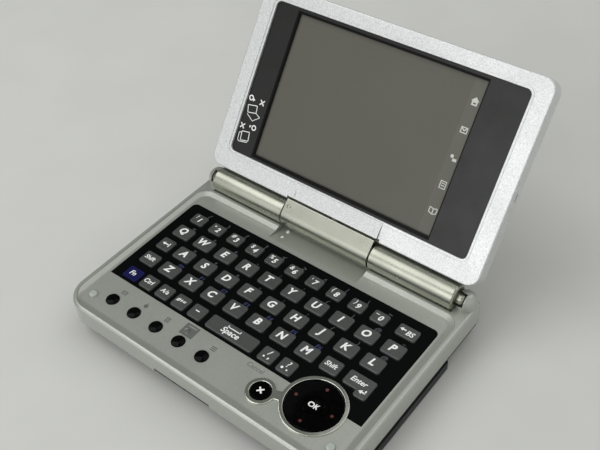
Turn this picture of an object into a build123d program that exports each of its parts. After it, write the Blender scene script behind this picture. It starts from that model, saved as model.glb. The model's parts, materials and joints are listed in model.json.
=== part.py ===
from build123d import *
from math import acos, atan2, cos, degrees, hypot, radians, sin, sqrt, tan
import os

# Handheld organizer with a tilting and swivelling lid, in millimetres.
# X runs to the right, Y to the rear and Z up. The origin is the centre of the flat underside.
# The keys set the width and depth of the case, and the lid follows the case.

# Gaps between pieces
SEAM = 0.1
SEAT_FIT = 0.05
RUNNING_FIT = 0.05
KEY_GAP = 0.2
BUTTON_GAP = 0.2
PAD_GAP = 0.3
BATTERY_GAP = 0.3
BLOCK_CLEARANCE = 0.3
SHAFT_CLEARANCE = 0.3
STYLUS_FIT = 0.3
CLOSED_GAP = 0.3
LAYER_GAP = 0.3

# Keys: width and depth
LETTER_KEY = (7.65, 5.7)
NUMBER_KEY = (6.1, 4.9)
SMALL_KEY = (5.9, 5.8)
FN_KEY = (6.9, 5.4)
BACKSPACE_WIDTH = 7.8
TAB_WIDTH = 5.9
SHIFT_WIDTH = 6.85
ENTER_LEG_WIDTH = 4.6
ENTER_LEG_LENGTH = 5.0
KEY_CORNER = 0.8
KEY_EDGE = 0.25
KEY_PROUD = 0.8
FN_PROUD = 0.2
KEY_SINK = 1.9
KEY_LIP = 0.5
KEY_LIP_THICKNESS = 0.4
KEY_TRAVEL = 0.7

# Layout of the keyboard
TOP_ROW_COUNT = 10
HOME_ROW_COUNT = 9
BOTTOM_ROW_COUNT = 7
NUMBER_COUNT = 10
LETTER_PITCH = 10.39
SMALL_PITCH = 7.8
UPPER_ROW_PITCH = 8.4
LOWER_ROW_PITCH = 8.6
KEY_SPACE = 2.5
FN_SPACE = 1.7
PAD_SPACE = 1.85
BACKSPACE_SPACE = 4.0
NUMBER_INDENT = 0.75
LEFT_END_STEP = 0.2
PANEL_SIDE_MARGIN = 4.32
PANEL_FRONT_MARGIN = 1.1
PANEL_REAR_MARGIN = 4.05
PANEL_RADIUS = 2.0
PANEL_THICKNESS = 0.7
PANEL_LEDGE = 0.8
PANEL_FIT = 0.1
KEYS_RIGHT = ((TOP_ROW_COUNT - 1) * LETTER_PITCH + LETTER_KEY[0]) / 2
PANEL_HALF_WIDTH = KEYS_RIGHT + PANEL_SIDE_MARGIN
ROW_DEPTHS = (SMALL_KEY[1] + NUMBER_KEY[1]) / 2 + 2 * LOWER_ROW_PITCH + 2 * UPPER_ROW_PITCH
PANEL_DEPTH = PANEL_FRONT_MARGIN + ROW_DEPTHS + PANEL_REAR_MARGIN

# Case
DECK_SIDE = 1.0
SLOPE_WIDTH = 2.2
SLOPE_ROUND = 2.5
LIP_HEIGHT = 0.3
LIP_ANGLE = 20.0
RIM_WIDTH = 1.9
RIM_FRONT = 1.4
RIM_REAR = 0.4
FRONT_STRIP = 19.1
REAR_STRIP = 19.4
CASE_WALL = 1.4
CASE_FRONT_RADIUS = 10.0
CASE_REAR_RADIUS = 2.5
BULGE_HEIGHT = 4.6
LOWER_HEIGHT = 2.4
UPPER_HEIGHT = 8.0
RIM_ROUND = 1.2
DECK_DROP = 0.9
DECK_THICKNESS = 1.2
DECK_FRONT_RADIUS = 2.5
DECK_REAR_RADIUS = 4.0
LIP_REAR_RADIUS = 5.5
LOWER_INSET = 0.6
LOWER_FRONT_SLANT = 1.8
FLOOR_THICKNESS = 1.4
CASE_WIDTH = 2 * (PANEL_HALF_WIDTH + DECK_SIDE + SLOPE_WIDTH + RIM_WIDTH)
CASE_DEPTH = FRONT_STRIP + PANEL_DEPTH + REAR_STRIP
CASE_SIDE = CASE_WIDTH / 2
CASE_FRONT = -CASE_DEPTH / 2
CASE_REAR = CASE_DEPTH / 2
PANEL_FRONT = CASE_FRONT + FRONT_STRIP
PANEL_REAR = CASE_REAR - REAR_STRIP
PARTING_Z = BULGE_HEIGHT + LOWER_HEIGHT
RIM_TOP = PARTING_Z + UPPER_HEIGHT

# Hinge
HINGE_INSET = 6.0
HINGE_RISE = 3.0
BARREL_RADIUS = 4.9
BARREL_WALL = 1.0
BLOCK_HALF_WIDTH = 19.2
BLOCK_NECK = 1.0
BLOCK_ROUND = 0.4
BLOCK_END_GAP = 0.5
BLOCK_MARK_X = -17.3
BLOCK_MARK_UP = 3.3
MARK_RADIUS = 0.95
MARK_CORE = 0.5
MARK_DEPTH = 0.25
SILL_DROP = 4.5
SCOOP_LENGTH = 11.3
SCOOP_REAR_LEDGE = 2.0
SCOOP_DEPTH = 1.4
BARREL_END_ROUND = 0.8
TROUGH_GAP = 0.5
TROUGH_GAP_DEPTH = 1.0
SHOULDER_SPACE = 6.5
SHOULDER_INSET = 0.4
SHOULDER_WIDTH = 7.6
SHOULDER_DEPTH = 8.0
SHOULDER_RISE = 5.4
SHOULDER_RADIUS = 3.75
SHOULDER_ROUND = 3.6
STUD_RADIUS = 2.1
STUD_LENGTH = 2.6
STUD_ROUND = 1.2
STUD_POCKET_GAP = 0.5
PIN_RADIUS = 2.0
PIN_IN_BLOCK = 8.2
PIN_END_SPACE = 6.0
PIN_COLLAR = 1.2
WASHER_THICKNESS = 0.3
SHAFT_RADIUS = 1.6
SHAFT_FOOT = -2.6
SHAFT_BORE = 0.8
SHAFT_STUB = 0.6
COLLAR_RADIUS = 2.6
COLLAR_HEIGHT = 0.5
CLIP_RADIUS = 2.4
CLIP_THICKNESS = 0.6
BEARING_WIDTH = 20.0
BEARING_THICKNESS = 2.2
HINGE_Y = CASE_REAR - HINGE_INSET
HINGE_Z = RIM_TOP + HINGE_RISE
BLOCK_TOP = BARREL_RADIUS + BLOCK_NECK
SCOOP_REAR = HINGE_Y - SCOOP_REAR_LEDGE
SCOOP_FRONT = HINGE_Y - SCOOP_LENGTH
REAR_SILL = HINGE_Z - SILL_DROP
BARREL_END = CASE_SIDE - SHOULDER_SPACE
SHOULDER_X = CASE_SIDE - SHOULDER_INSET - SHOULDER_WIDTH / 2
SHOULDER_Y = CASE_REAR - SHOULDER_INSET - SHOULDER_DEPTH / 2
SHOULDER_FOOT = RIM_TOP - RIM_ROUND
SHOULDER_TOP = RIM_TOP + SHOULDER_RISE
PIN_INNER_END = BLOCK_HALF_WIDTH - PIN_IN_BLOCK
PIN_OUTER_END = BARREL_END - PIN_END_SPACE
LIP_HALF_WIDTH = CASE_SIDE - RIM_WIDTH
LIP_FRONT = CASE_FRONT + RIM_FRONT
LIP_REAR = HINGE_Y - BARREL_RADIUS - RIM_REAR
LIP_FRONT_RADIUS = CASE_FRONT_RADIUS - RIM_WIDTH

# Lid
LID_OPENING = 126.0
LID_STEP = 1.5
LID_GAP = 0.8
LID_BARREL_GAP = 0.5
NOTCH_SIDE_GAP = 1.3
LID_RADIUS = 4.6
LID_WALL = 1.4
LID_EDGE_ROUND = 0.5
LID_BACK_ROUND = 1.8
TRIM_SIDE_STEP = 0.3
TRIM_HEIGHT = 5.7
TRIM_DEPTH = 0.5
TRIM_MARK_X = -17.7
TRIM_MARK_UP = 8.5
TRIM_MARK_SIZE = (2.2, 1.2)
LID_SLOT_UP = 38.0
LID_SLOT_LENGTH = 3.0
LID_SLOT_WIDTH = 0.9
LID_SCREW_INSET = 3.9
LID_BOSS_RADIUS = 1.9
LID_SCREW_LENGTH = 5.0
OPENING_ROUND = 0.25
GROOVE_STEP = 0.9
GROOVE_WIDTH = 0.25
GROOVE_DEPTH = 0.2
BEZEL_SIDE = 6.9
BEZEL_TOP = 5.4
BEZEL_BOTTOM = 0.6
FRAME_RADIUS = 2.0
FRAME_SINK = 0.9
FRAME_THICKNESS = 0.9
FRAME_LEFT_STRIP = 10.7
FRAME_RIGHT_STRIP = 15.1
FRAME_BOTTOM_STRIP = 1.9
FRAME_TOP_STRIP = 1.3
GLASS_MARGIN = 1.6
GLASS_THICKNESS = 0.9
DISPLAY_THICKNESS = 1.4
BACKLIGHT_THICKNESS = 2.0
LID_WIDTH = CASE_WIDTH - 2 * LID_STEP
LID_BOTTOM = BLOCK_TOP + LID_GAP
LID_FOOT = BARREL_RADIUS + LID_BARREL_GAP
NOTCH_HALF_WIDTH = BLOCK_HALF_WIDTH + NOTCH_SIDE_GAP
LID_TOP = HINGE_Y - CASE_FRONT
TRIM_HALF_WIDTH = BLOCK_HALF_WIDTH + TRIM_SIDE_STEP
TRIM_TOP = LID_BOTTOM + TRIM_HEIGHT
LID_SCREW_X = LID_WIDTH / 2 - LID_SCREW_INSET
LID_SCREW_UPS = (LID_BOTTOM + LID_SCREW_INSET, LID_TOP - LID_SCREW_INSET)
FRAME_HALF_WIDTH = LID_WIDTH / 2 - BEZEL_SIDE
FRAME_BOTTOM = TRIM_TOP + BEZEL_BOTTOM
FRAME_TOP = LID_TOP - BEZEL_TOP
WINDOW_LEFT = -FRAME_HALF_WIDTH + FRAME_LEFT_STRIP
WINDOW_RIGHT = FRAME_HALF_WIDTH - FRAME_RIGHT_STRIP
WINDOW_BOTTOM = FRAME_BOTTOM + FRAME_BOTTOM_STRIP
WINDOW_TOP = FRAME_TOP - FRAME_TOP_STRIP
WINDOW_CENTRE = ((WINDOW_LEFT + WINDOW_RIGHT) / 2, (WINDOW_BOTTOM + WINDOW_TOP) / 2)
SCREEN_STACK = FRAME_SINK + FRAME_THICKNESS + GLASS_THICKNESS + SEAM + DISPLAY_THICKNESS + BACKLIGHT_THICKNESS
LID_THICKNESS = SCREEN_STACK + LAYER_GAP + LID_WALL

# Buttons on the deck
APP_BUTTON_COUNT = 5
APP_BUTTON_PITCH = 10.55
APP_BUTTON_INSET = 10.5
APP_BUTTON_DROP = 8.9
APP_BUTTON_RADIUS = 2.3
APP_BUTTON_DOME = 0.4
PAD_INSET = 15.9
PAD_DROP = 2.55
PAD_RADIUS = 9.35
PAD_RING_RADIUS = 11.0
PAD_THICKNESS = 2.3
PAD_RING_RISE = 0.6
PAD_DISH = 0.4
ROCKER_THICKNESS = 0.3
ROCKER_RADIUS = 5.2
RIDGE_RADIUS = 0.35
RIDGE_SPACING = 0.7
OK_RADIUS = 3.1
OK_DIMPLE = 0.3
CANCEL_OFFSET = (16.7, 5.55)
CANCEL_RADIUS = 3.3
CANCEL_RING_RADIUS = 5.0
NECK_WIDTH = 3.4
NECK_FILLET = 0.6
BUMPER_RADIUS = 1.6
BUMPER_ROUND = 0.75
BUMPER_SIDE_INSET = 8.2
BUMPER_FRONT_INSET = 7.9
LAMP_RADIUS = 0.75
LAMP_INSET = 2.9
LAMP_SETBACKS = (7.9, 4.3)
LAMP_SINK = 0.8
LAMP_RISE = 0.6
PAD_X = PANEL_HALF_WIDTH - PAD_INSET
PAD_Y = PANEL_FRONT - PAD_DROP
CANCEL_X = PAD_X - CANCEL_OFFSET[0]
CANCEL_Y = PAD_Y - CANCEL_OFFSET[1]
APP_BUTTON_Y = PANEL_FRONT - APP_BUTTON_DROP
APP_BUTTON_XS = [
    APP_BUTTON_INSET - PANEL_HALF_WIDTH + APP_BUTTON_PITCH * place for place in range(APP_BUTTON_COUNT)
]
BUMPER_X = CASE_SIDE - BUMPER_SIDE_INSET
BUMPER_PLACES = [(side * BUMPER_X, CASE_FRONT + BUMPER_FRONT_INSET) for side in (-1, 1)]
LAMP_PLACES = [(LAMP_INSET - BLOCK_HALF_WIDTH, HINGE_Y - setback) for setback in LAMP_SETBACKS]

# Battery, its cover and the latch
BATTERY_WIDTH = 64.0
BATTERY_DEPTH = 30.0
BATTERY_HEIGHT = 7.2
BATTERY_ROUND = 0.7
COVER_FLOOR = 1.2
COVER_WALL = 1.4
COVER_STEP = 0.0
COVER_FRONT_INSET = 5.6
COVER_REAR_INSET = 18.5
COVER_REAR_SPACE = 5.0
COVER_CORNER_STEP = 1.0
COVER_REAR_CHAMFER = 3.0
COVER_ROUND = 1.2
LATCH_SETBACK = 6.0
LATCH_LENGTH = 7.0
LATCH_WIDTH = 4.0
LATCH_TRAVEL = 3.0
LATCH_RISE = 0.7
LATCH_LIP = 1.0
LATCH_RIB_COUNT = 4
FOOT_RADIUS = 3.2
FOOT_ROUND = 0.7
FOOT_SIDE_INSET = 10.0
FOOT_REAR_INSET = 6.5
COVER_WIDTH = CASE_WIDTH - 2 * COVER_STEP
COVER_FRONT = CASE_FRONT + COVER_FRONT_INSET
COVER_REAR = CASE_REAR - COVER_REAR_INSET
COVER_FRONT_RADIUS = CASE_FRONT_RADIUS - COVER_CORNER_STEP
BATTERY_REAR = COVER_REAR - COVER_REAR_SPACE
BATTERY_FRONT = BATTERY_REAR - BATTERY_DEPTH
BATTERY_Y = (BATTERY_FRONT + BATTERY_REAR) / 2
LATCH_Y = COVER_REAR + LATCH_SETBACK
FOOT_X = CASE_SIDE - FOOT_SIDE_INSET
FOOT_PLACES = [(side * FOOT_X, CASE_REAR - FOOT_REAR_INSET) for side in (-1, 1)]

# Stylus, earphone jack and card slot
STYLUS_INSET = 4.8
STYLUS_RISE = 2.2
STYLUS_RADIUS = 1.7
STYLUS_END_SPACE = 1.9
JACK_SETBACK = 12.5
JACK_RISE = 3.2
JACK_BORE = 1.8
JACK_HOLE = 2.6
JACK_SIZE = 5.2
JACK_LENGTH = 5.8
SLOT_X = -3.0
SLOT_WIDTH = 24.7
SLOT_HEIGHT = 1.5
SOCKET_WALL = 1.5
SOCKET_SPACE = 1.4
STYLUS_X = STYLUS_INSET - CASE_SIDE
STYLUS_Z = PARTING_Z + STYLUS_RISE
JACK_Y = CASE_FRONT + JACK_SETBACK
JACK_Z = PARTING_Z + JACK_RISE
STYLUS_TIP = JACK_Y + JACK_SIZE / 2 + STYLUS_END_SPACE
SOCKET_REAR = BATTERY_FRONT - SOCKET_SPACE

# Board and rubber mat
SIDE_SPACE = 5.5
MAT_THICKNESS = 0.8
MAT_STYLUS_SPACE = 2.7
MAT_FRONT_SPACE = 6.5
MAT_REAR_SPACE = 1.1
BOARD_THICKNESS = 1.2
BOARD_STYLUS_SPACE = 6.2
BOARD_FRONT_SPACE = 12.5
BOARD_REAR_REACH = 1.9
CHIP_HEIGHT = 1.0
CHIP_SIZES = (10.0, 7.0, 8.0)
CHIP_SIDE_INSETS = (12.5, 12.5, 8.0)
CHIP_SETBACKS = (41.0, 7.0, 21.0)
BUZZER_SIDE_INSET = 8.5
BUZZER_SETBACK = 23.0
BUZZER_RADIUS = 5.0
BUZZER_HEIGHT = 1.9
BUZZER_EDGE = 0.35
BUZZER_VENT = 1.0
BUZZER_VENT_DEPTH = 0.7
MAT_LEFT = STYLUS_X + MAT_STYLUS_SPACE
MAT_RIGHT = CASE_SIDE - SIDE_SPACE
MAT_FRONT = CASE_FRONT + MAT_FRONT_SPACE
MAT_REAR = PANEL_REAR - MAT_REAR_SPACE
BOARD_LEFT = STYLUS_X + BOARD_STYLUS_SPACE
BOARD_RIGHT = CASE_SIDE - SIDE_SPACE
BOARD_FRONT = CASE_FRONT + BOARD_FRONT_SPACE
BOARD_REAR = PANEL_REAR + BOARD_REAR_REACH
CHIP_PLACES = (
    (BOARD_RIGHT - CHIP_SIDE_INSETS[0], BOARD_FRONT + CHIP_SETBACKS[0]),
    (BOARD_RIGHT - CHIP_SIDE_INSETS[1], BOARD_FRONT + CHIP_SETBACKS[1]),
    (BOARD_LEFT + CHIP_SIDE_INSETS[2], BOARD_FRONT + CHIP_SETBACKS[2]),
)
BUZZER_X = BOARD_RIGHT - BUZZER_SIDE_INSET
BUZZER_Y = BOARD_FRONT + BUZZER_SETBACK

# Screws
SCREW_LEFT_INSET = 10.5
SCREW_RIGHT_INSET = 6.0
SCREW_FRONT_INSET = 7.5
SCREW_HINGE_SPACE = 6.9
BOSS_RADIUS = 2.2
SCREW_RADIUS = 0.9
SCREW_HEAD_RADIUS = 1.7
SCREW_HEAD_HEIGHT = 0.7
SCREW_LENGTH = 6.0
SCREW_PLACES = [
    (x, y)
    for x in (SCREW_LEFT_INSET - CASE_SIDE, CASE_SIDE - SCREW_RIGHT_INSET)
    for y in (CASE_FRONT + SCREW_FRONT_INSET, HINGE_Y - SCREW_HINGE_SPACE)
]

# Levels that follow from the sizes above
DECK_Z = RIM_TOP - DECK_DROP
DECK_BOTTOM = DECK_Z - DECK_THICKNESS
PANEL_BOTTOM = DECK_Z - PANEL_THICKNESS
KEY_TOP = DECK_Z + KEY_PROUD
KEY_BOTTOM = DECK_Z - KEY_SINK
MAT_TOP = KEY_BOTTOM - KEY_TRAVEL - SEAM
BOARD_TOP = MAT_TOP - MAT_THICKNESS
BOARD_BOTTOM = BOARD_TOP - BOARD_THICKNESS
LOWER_FLOOR = BULGE_HEIGHT + FLOOR_THICKNESS
REAR_CEILING = HINGE_Z - BARREL_RADIUS - BLOCK_CLEARANCE - CASE_WALL
SCOOP_FLOOR = DECK_Z - SCOOP_DEPTH
LAMP_FOOT = SCOOP_FLOOR - LAMP_SINK
LAMP_TOP = SCOOP_FLOOR + LAMP_RISE
PAD_FOOT = KEY_TOP - PAD_THICKNESS
UPPER_RIDGE_Z = PAD_FOOT - SEAM
LOWER_RIDGE_Z = UPPER_RIDGE_Z - RIDGE_SPACING
LID_FACE = HINGE_RISE - CLOSED_GAP
LID_BACK = LID_FACE - LID_THICKNESS
LID_MIDDLE = (LID_FACE + LID_BACK) / 2
FRAME_FRONT = LID_FACE - FRAME_SINK
FRAME_BACK = FRAME_FRONT - FRAME_THICKNESS
BEARING_FOOT = LID_BOTTOM + LID_WALL + SEAM
CLIP_FOOT = BEARING_FOOT + BEARING_THICKNESS + SEAM
SHAFT_TOP = CLIP_FOOT + CLIP_THICKNESS + SHAFT_STUB

# The lid leans back from the deck: its own X, Y and Z run right, up the lid and out of the screen
LID_RISE = radians(180.0 - LID_OPENING)
LID_UP = Vector(0, cos(LID_RISE), sin(LID_RISE))
LID_NORMAL = Vector(0, -sin(LID_RISE), cos(LID_RISE))
HINGE_POINT = Vector(0, HINGE_Y, HINGE_Z)

# The front of the block and the trim above it lie in one plane, which leaves the barrel at a tangent
TANGENT_ANGLE = atan2(LID_FACE, TRIM_TOP) + acos(BARREL_RADIUS / hypot(TRIM_TOP, LID_FACE))
TANGENT_UP = BARREL_RADIUS * cos(TANGENT_ANGLE)
TANGENT_OUT = BARREL_RADIUS * sin(TANGENT_ANGLE)

os.makedirs("parts", exist_ok=True)


def lid_plane(out=0.0):
    """The plane of the lid, at a distance out of the hinge axis towards the screen side."""
    return Plane(origin=HINGE_POINT + LID_NORMAL * out, x_dir=(1, 0, 0), z_dir=LID_NORMAL)


def shaft_plane(up):
    """A plane square to the swivel shaft, at a distance up the lid from the hinge axis."""
    origin = HINGE_POINT + LID_UP * up + LID_NORMAL * LID_MIDDLE
    return Plane(origin=origin, x_dir=(1, 0, 0), z_dir=LID_UP)


def side_plane(x):
    """A plane square to the hinge axis, with Y to its right and Z up."""
    return Plane(origin=(x, 0, 0), x_dir=(0, 1, 0), z_dir=(1, 0, 0))


def lid_side_plane(x):
    """A plane square to the hinge axis, with up-the-lid to its right and the screen side up."""
    return Plane(origin=HINGE_POINT + Vector(x, 0, 0), x_dir=LID_UP, z_dir=(1, 0, 0))


def slope_out(up):
    """How far the sloping front of block and trim stands out of the hinge axis."""
    return TANGENT_OUT + (up - TANGENT_UP) * (LID_FACE - TANGENT_OUT) / (TRIM_TOP - TANGENT_UP)


def slope_plane(x, up):
    """The plane of the sloping front of block and trim, at a place on it."""
    square = LID_UP * (TANGENT_OUT - LID_FACE) + LID_NORMAL * (TRIM_TOP - TANGENT_UP)
    place = HINGE_POINT + Vector(x, 0, 0) + LID_UP * up + LID_NORMAL * slope_out(up)
    return Plane(origin=place, x_dir=(1, 0, 0), z_dir=square)


def save(piece, name):
    """Label a finished piece and write it under its name."""
    piece.part.label = name
    export_step(piece.part, f"parts/{name}.step")


def case_outline(sketch, inset):
    """The outline of the case, drawn in by an inset."""
    Rectangle(CASE_WIDTH - 2 * inset, CASE_DEPTH - 2 * inset)
    fillet(sketch.vertices().group_by(Axis.Y)[0], CASE_FRONT_RADIUS - inset)
    fillet(sketch.vertices().group_by(Axis.Y)[-1], max(CASE_REAR_RADIUS - inset, 0.5))


def panel_outline(sketch, grow):
    """The outline of the keyboard panel, round the direction pad's ring."""
    with Locations((0, (PANEL_REAR + PANEL_FRONT) / 2)):
        Rectangle(2 * (PANEL_HALF_WIDTH + grow), PANEL_DEPTH + 2 * grow)
    fillet(sketch.vertices().group_by(Axis.Y)[-1], PANEL_RADIUS + grow)
    with Locations((PAD_X, PAD_Y)):
        Circle(PAD_RING_RADIUS + PANEL_FIT - grow, mode=Mode.SUBTRACT)


def recess_outline(sketch, step, front_radius, rear_radius):
    """An outline of the recess round the deck, a step inside the lip of the rim."""
    with Locations((0, (LIP_FRONT + LIP_REAR) / 2)):
        Rectangle(2 * (LIP_HALF_WIDTH - step), LIP_REAR - LIP_FRONT - 2 * step)
    fillet(sketch.vertices().group_by(Axis.Y)[0], front_radius)
    fillet(sketch.vertices().group_by(Axis.Y)[-1], rear_radius)


def lid_outline(sketch, inset):
    """The outline of the lid, drawn in by an inset."""
    with Locations((0, (LID_TOP + LID_FOOT) / 2)):
        Rectangle(LID_WIDTH - 2 * inset, LID_TOP - LID_FOOT - 2 * inset)
    fillet(sketch.vertices(), LID_RADIUS - inset)


def lid_notch(grow, mode=Mode.ADD):
    """The notch in the lower edge of the lid, which leaves the turning block free."""
    with Locations((0, LID_FOOT)):
        Rectangle(2 * (NOTCH_HALF_WIDTH + grow), 2 * (LID_BOTTOM - LID_FOOT + grow), mode=mode)


def opening_outline(grow, mode=Mode.ADD):
    """The outline of the screen opening of the lid, drawn out by a step."""
    with Locations((0, (FRAME_TOP + FRAME_BOTTOM) / 2)):
        width = 2 * (FRAME_HALF_WIDTH + grow)
        RectangleRounded(width, FRAME_TOP - FRAME_BOTTOM + 2 * grow, FRAME_RADIUS + grow, mode=mode)


def row_places(left, size, pitch, count, y):
    """The centres of a row of like keys, from the left edge of the first."""
    return [(left + size[0] / 2 + pitch * place, y) for place in range(count)]


def between(left, right, depth, y):
    """The centre and the size of one key between two ends."""
    return [((left + right) / 2, y)], (right - left, depth)


# Rows from front to rear
SPACE_ROW_Y = PANEL_FRONT + PANEL_FRONT_MARGIN + SMALL_KEY[1] / 2
BOTTOM_ROW_Y = SPACE_ROW_Y + LOWER_ROW_PITCH
HOME_ROW_Y = BOTTOM_ROW_Y + LOWER_ROW_PITCH
TOP_ROW_Y = HOME_ROW_Y + UPPER_ROW_PITCH
NUMBER_ROW_Y = TOP_ROW_Y + UPPER_ROW_PITCH

# Left and right edges of the keys along the rows
KEYS_LEFT = -KEYS_RIGHT - LEFT_END_STEP
NUMBER_LEFT = NUMBER_INDENT - KEYS_RIGHT
BACKSPACE_LEFT = KEYS_RIGHT - BACKSPACE_WIDTH
NUMBER_PITCH = (BACKSPACE_LEFT - BACKSPACE_SPACE - NUMBER_KEY[0] - NUMBER_LEFT) / (NUMBER_COUNT - 1)
HOME_LEFT = KEYS_LEFT + TAB_WIDTH + KEY_SPACE
BOTTOM_LEFT = KEYS_LEFT + SHIFT_WIDTH + KEY_SPACE
RIGHT_SHIFT_LEFT = BOTTOM_LEFT + (BOTTOM_ROW_COUNT - 1) * LETTER_PITCH + LETTER_KEY[0] + KEY_SPACE
ENTER_LEFT = RIGHT_SHIFT_LEFT + SHIFT_WIDTH + KEY_SPACE
CTRL_LEFT = KEYS_LEFT + FN_KEY[0] + FN_SPACE
DASH_LEFT = CTRL_LEFT + 3 * SMALL_PITCH
SPACE_LEFT = DASH_LEFT + SMALL_KEY[0] + KEY_SPACE
PERIOD_LEFT = PAD_X - PAD_RING_RADIUS - PAD_SPACE - SMALL_KEY[0]
COMMA_LEFT = PERIOD_LEFT - SMALL_PITCH

# Places and sizes of all keys, by the name of the piece
KEY_ROWS = {
    "number_keys": (
        row_places(NUMBER_LEFT, NUMBER_KEY, NUMBER_PITCH, NUMBER_COUNT, NUMBER_ROW_Y),
        NUMBER_KEY,
    ),
    "backspace_key": between(BACKSPACE_LEFT, KEYS_RIGHT, NUMBER_KEY[1], NUMBER_ROW_Y),
    "top_letter_keys": (
        row_places(-KEYS_RIGHT, LETTER_KEY, LETTER_PITCH, TOP_ROW_COUNT, TOP_ROW_Y),
        LETTER_KEY,
    ),
    "tab_key": between(KEYS_LEFT, KEYS_LEFT + TAB_WIDTH, LETTER_KEY[1], HOME_ROW_Y),
    "home_letter_keys": (
        row_places(HOME_LEFT, LETTER_KEY, LETTER_PITCH, HOME_ROW_COUNT, HOME_ROW_Y),
        LETTER_KEY,
    ),
    "left_shift_key": between(KEYS_LEFT, KEYS_LEFT + SHIFT_WIDTH, LETTER_KEY[1], BOTTOM_ROW_Y),
    "bottom_letter_keys": (
        row_places(BOTTOM_LEFT, LETTER_KEY, LETTER_PITCH, BOTTOM_ROW_COUNT, BOTTOM_ROW_Y),
        LETTER_KEY,
    ),
    "right_shift_key": between(RIGHT_SHIFT_LEFT, RIGHT_SHIFT_LEFT + SHIFT_WIDTH, LETTER_KEY[1], BOTTOM_ROW_Y),
    "enter_key": between(ENTER_LEFT, KEYS_RIGHT, LETTER_KEY[1], BOTTOM_ROW_Y),
    "fn_key": between(KEYS_LEFT, KEYS_LEFT + FN_KEY[0], FN_KEY[1], SPACE_ROW_Y),
    "ctrl_key": (row_places(CTRL_LEFT, SMALL_KEY, 0, 1, SPACE_ROW_Y), SMALL_KEY),
    "mode_key": (row_places(CTRL_LEFT + SMALL_PITCH, SMALL_KEY, 0, 1, SPACE_ROW_Y), SMALL_KEY),
    "symbol_key": (row_places(CTRL_LEFT + 2 * SMALL_PITCH, SMALL_KEY, 0, 1, SPACE_ROW_Y), SMALL_KEY),
    "dash_key": (row_places(DASH_LEFT, SMALL_KEY, 0, 1, SPACE_ROW_Y), SMALL_KEY),
    "space_key": between(SPACE_LEFT, COMMA_LEFT - KEY_SPACE, SMALL_KEY[1], SPACE_ROW_Y),
    "comma_key": (row_places(COMMA_LEFT, SMALL_KEY, 0, 1, SPACE_ROW_Y), SMALL_KEY),
    "period_key": (row_places(PERIOD_LEFT, SMALL_KEY, 0, 1, SPACE_ROW_Y), SMALL_KEY),
}


def key_outline(name, grow):
    """The outline of the keys of one name; the enter key has a leg towards the front."""
    places, (width, depth) = KEY_ROWS[name]
    corner = KEY_CORNER + grow
    with Locations(*places):
        RectangleRounded(width + 2 * grow, depth + 2 * grow, corner)
    if name == "enter_key":
        right = places[0][0] + width / 2
        rear = places[0][1]
        with Locations((right - ENTER_LEG_WIDTH / 2, rear - ENTER_LEG_LENGTH / 2)):
            RectangleRounded(ENTER_LEG_WIDTH + 2 * grow, ENTER_LEG_LENGTH + 2 * grow, corner)


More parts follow.
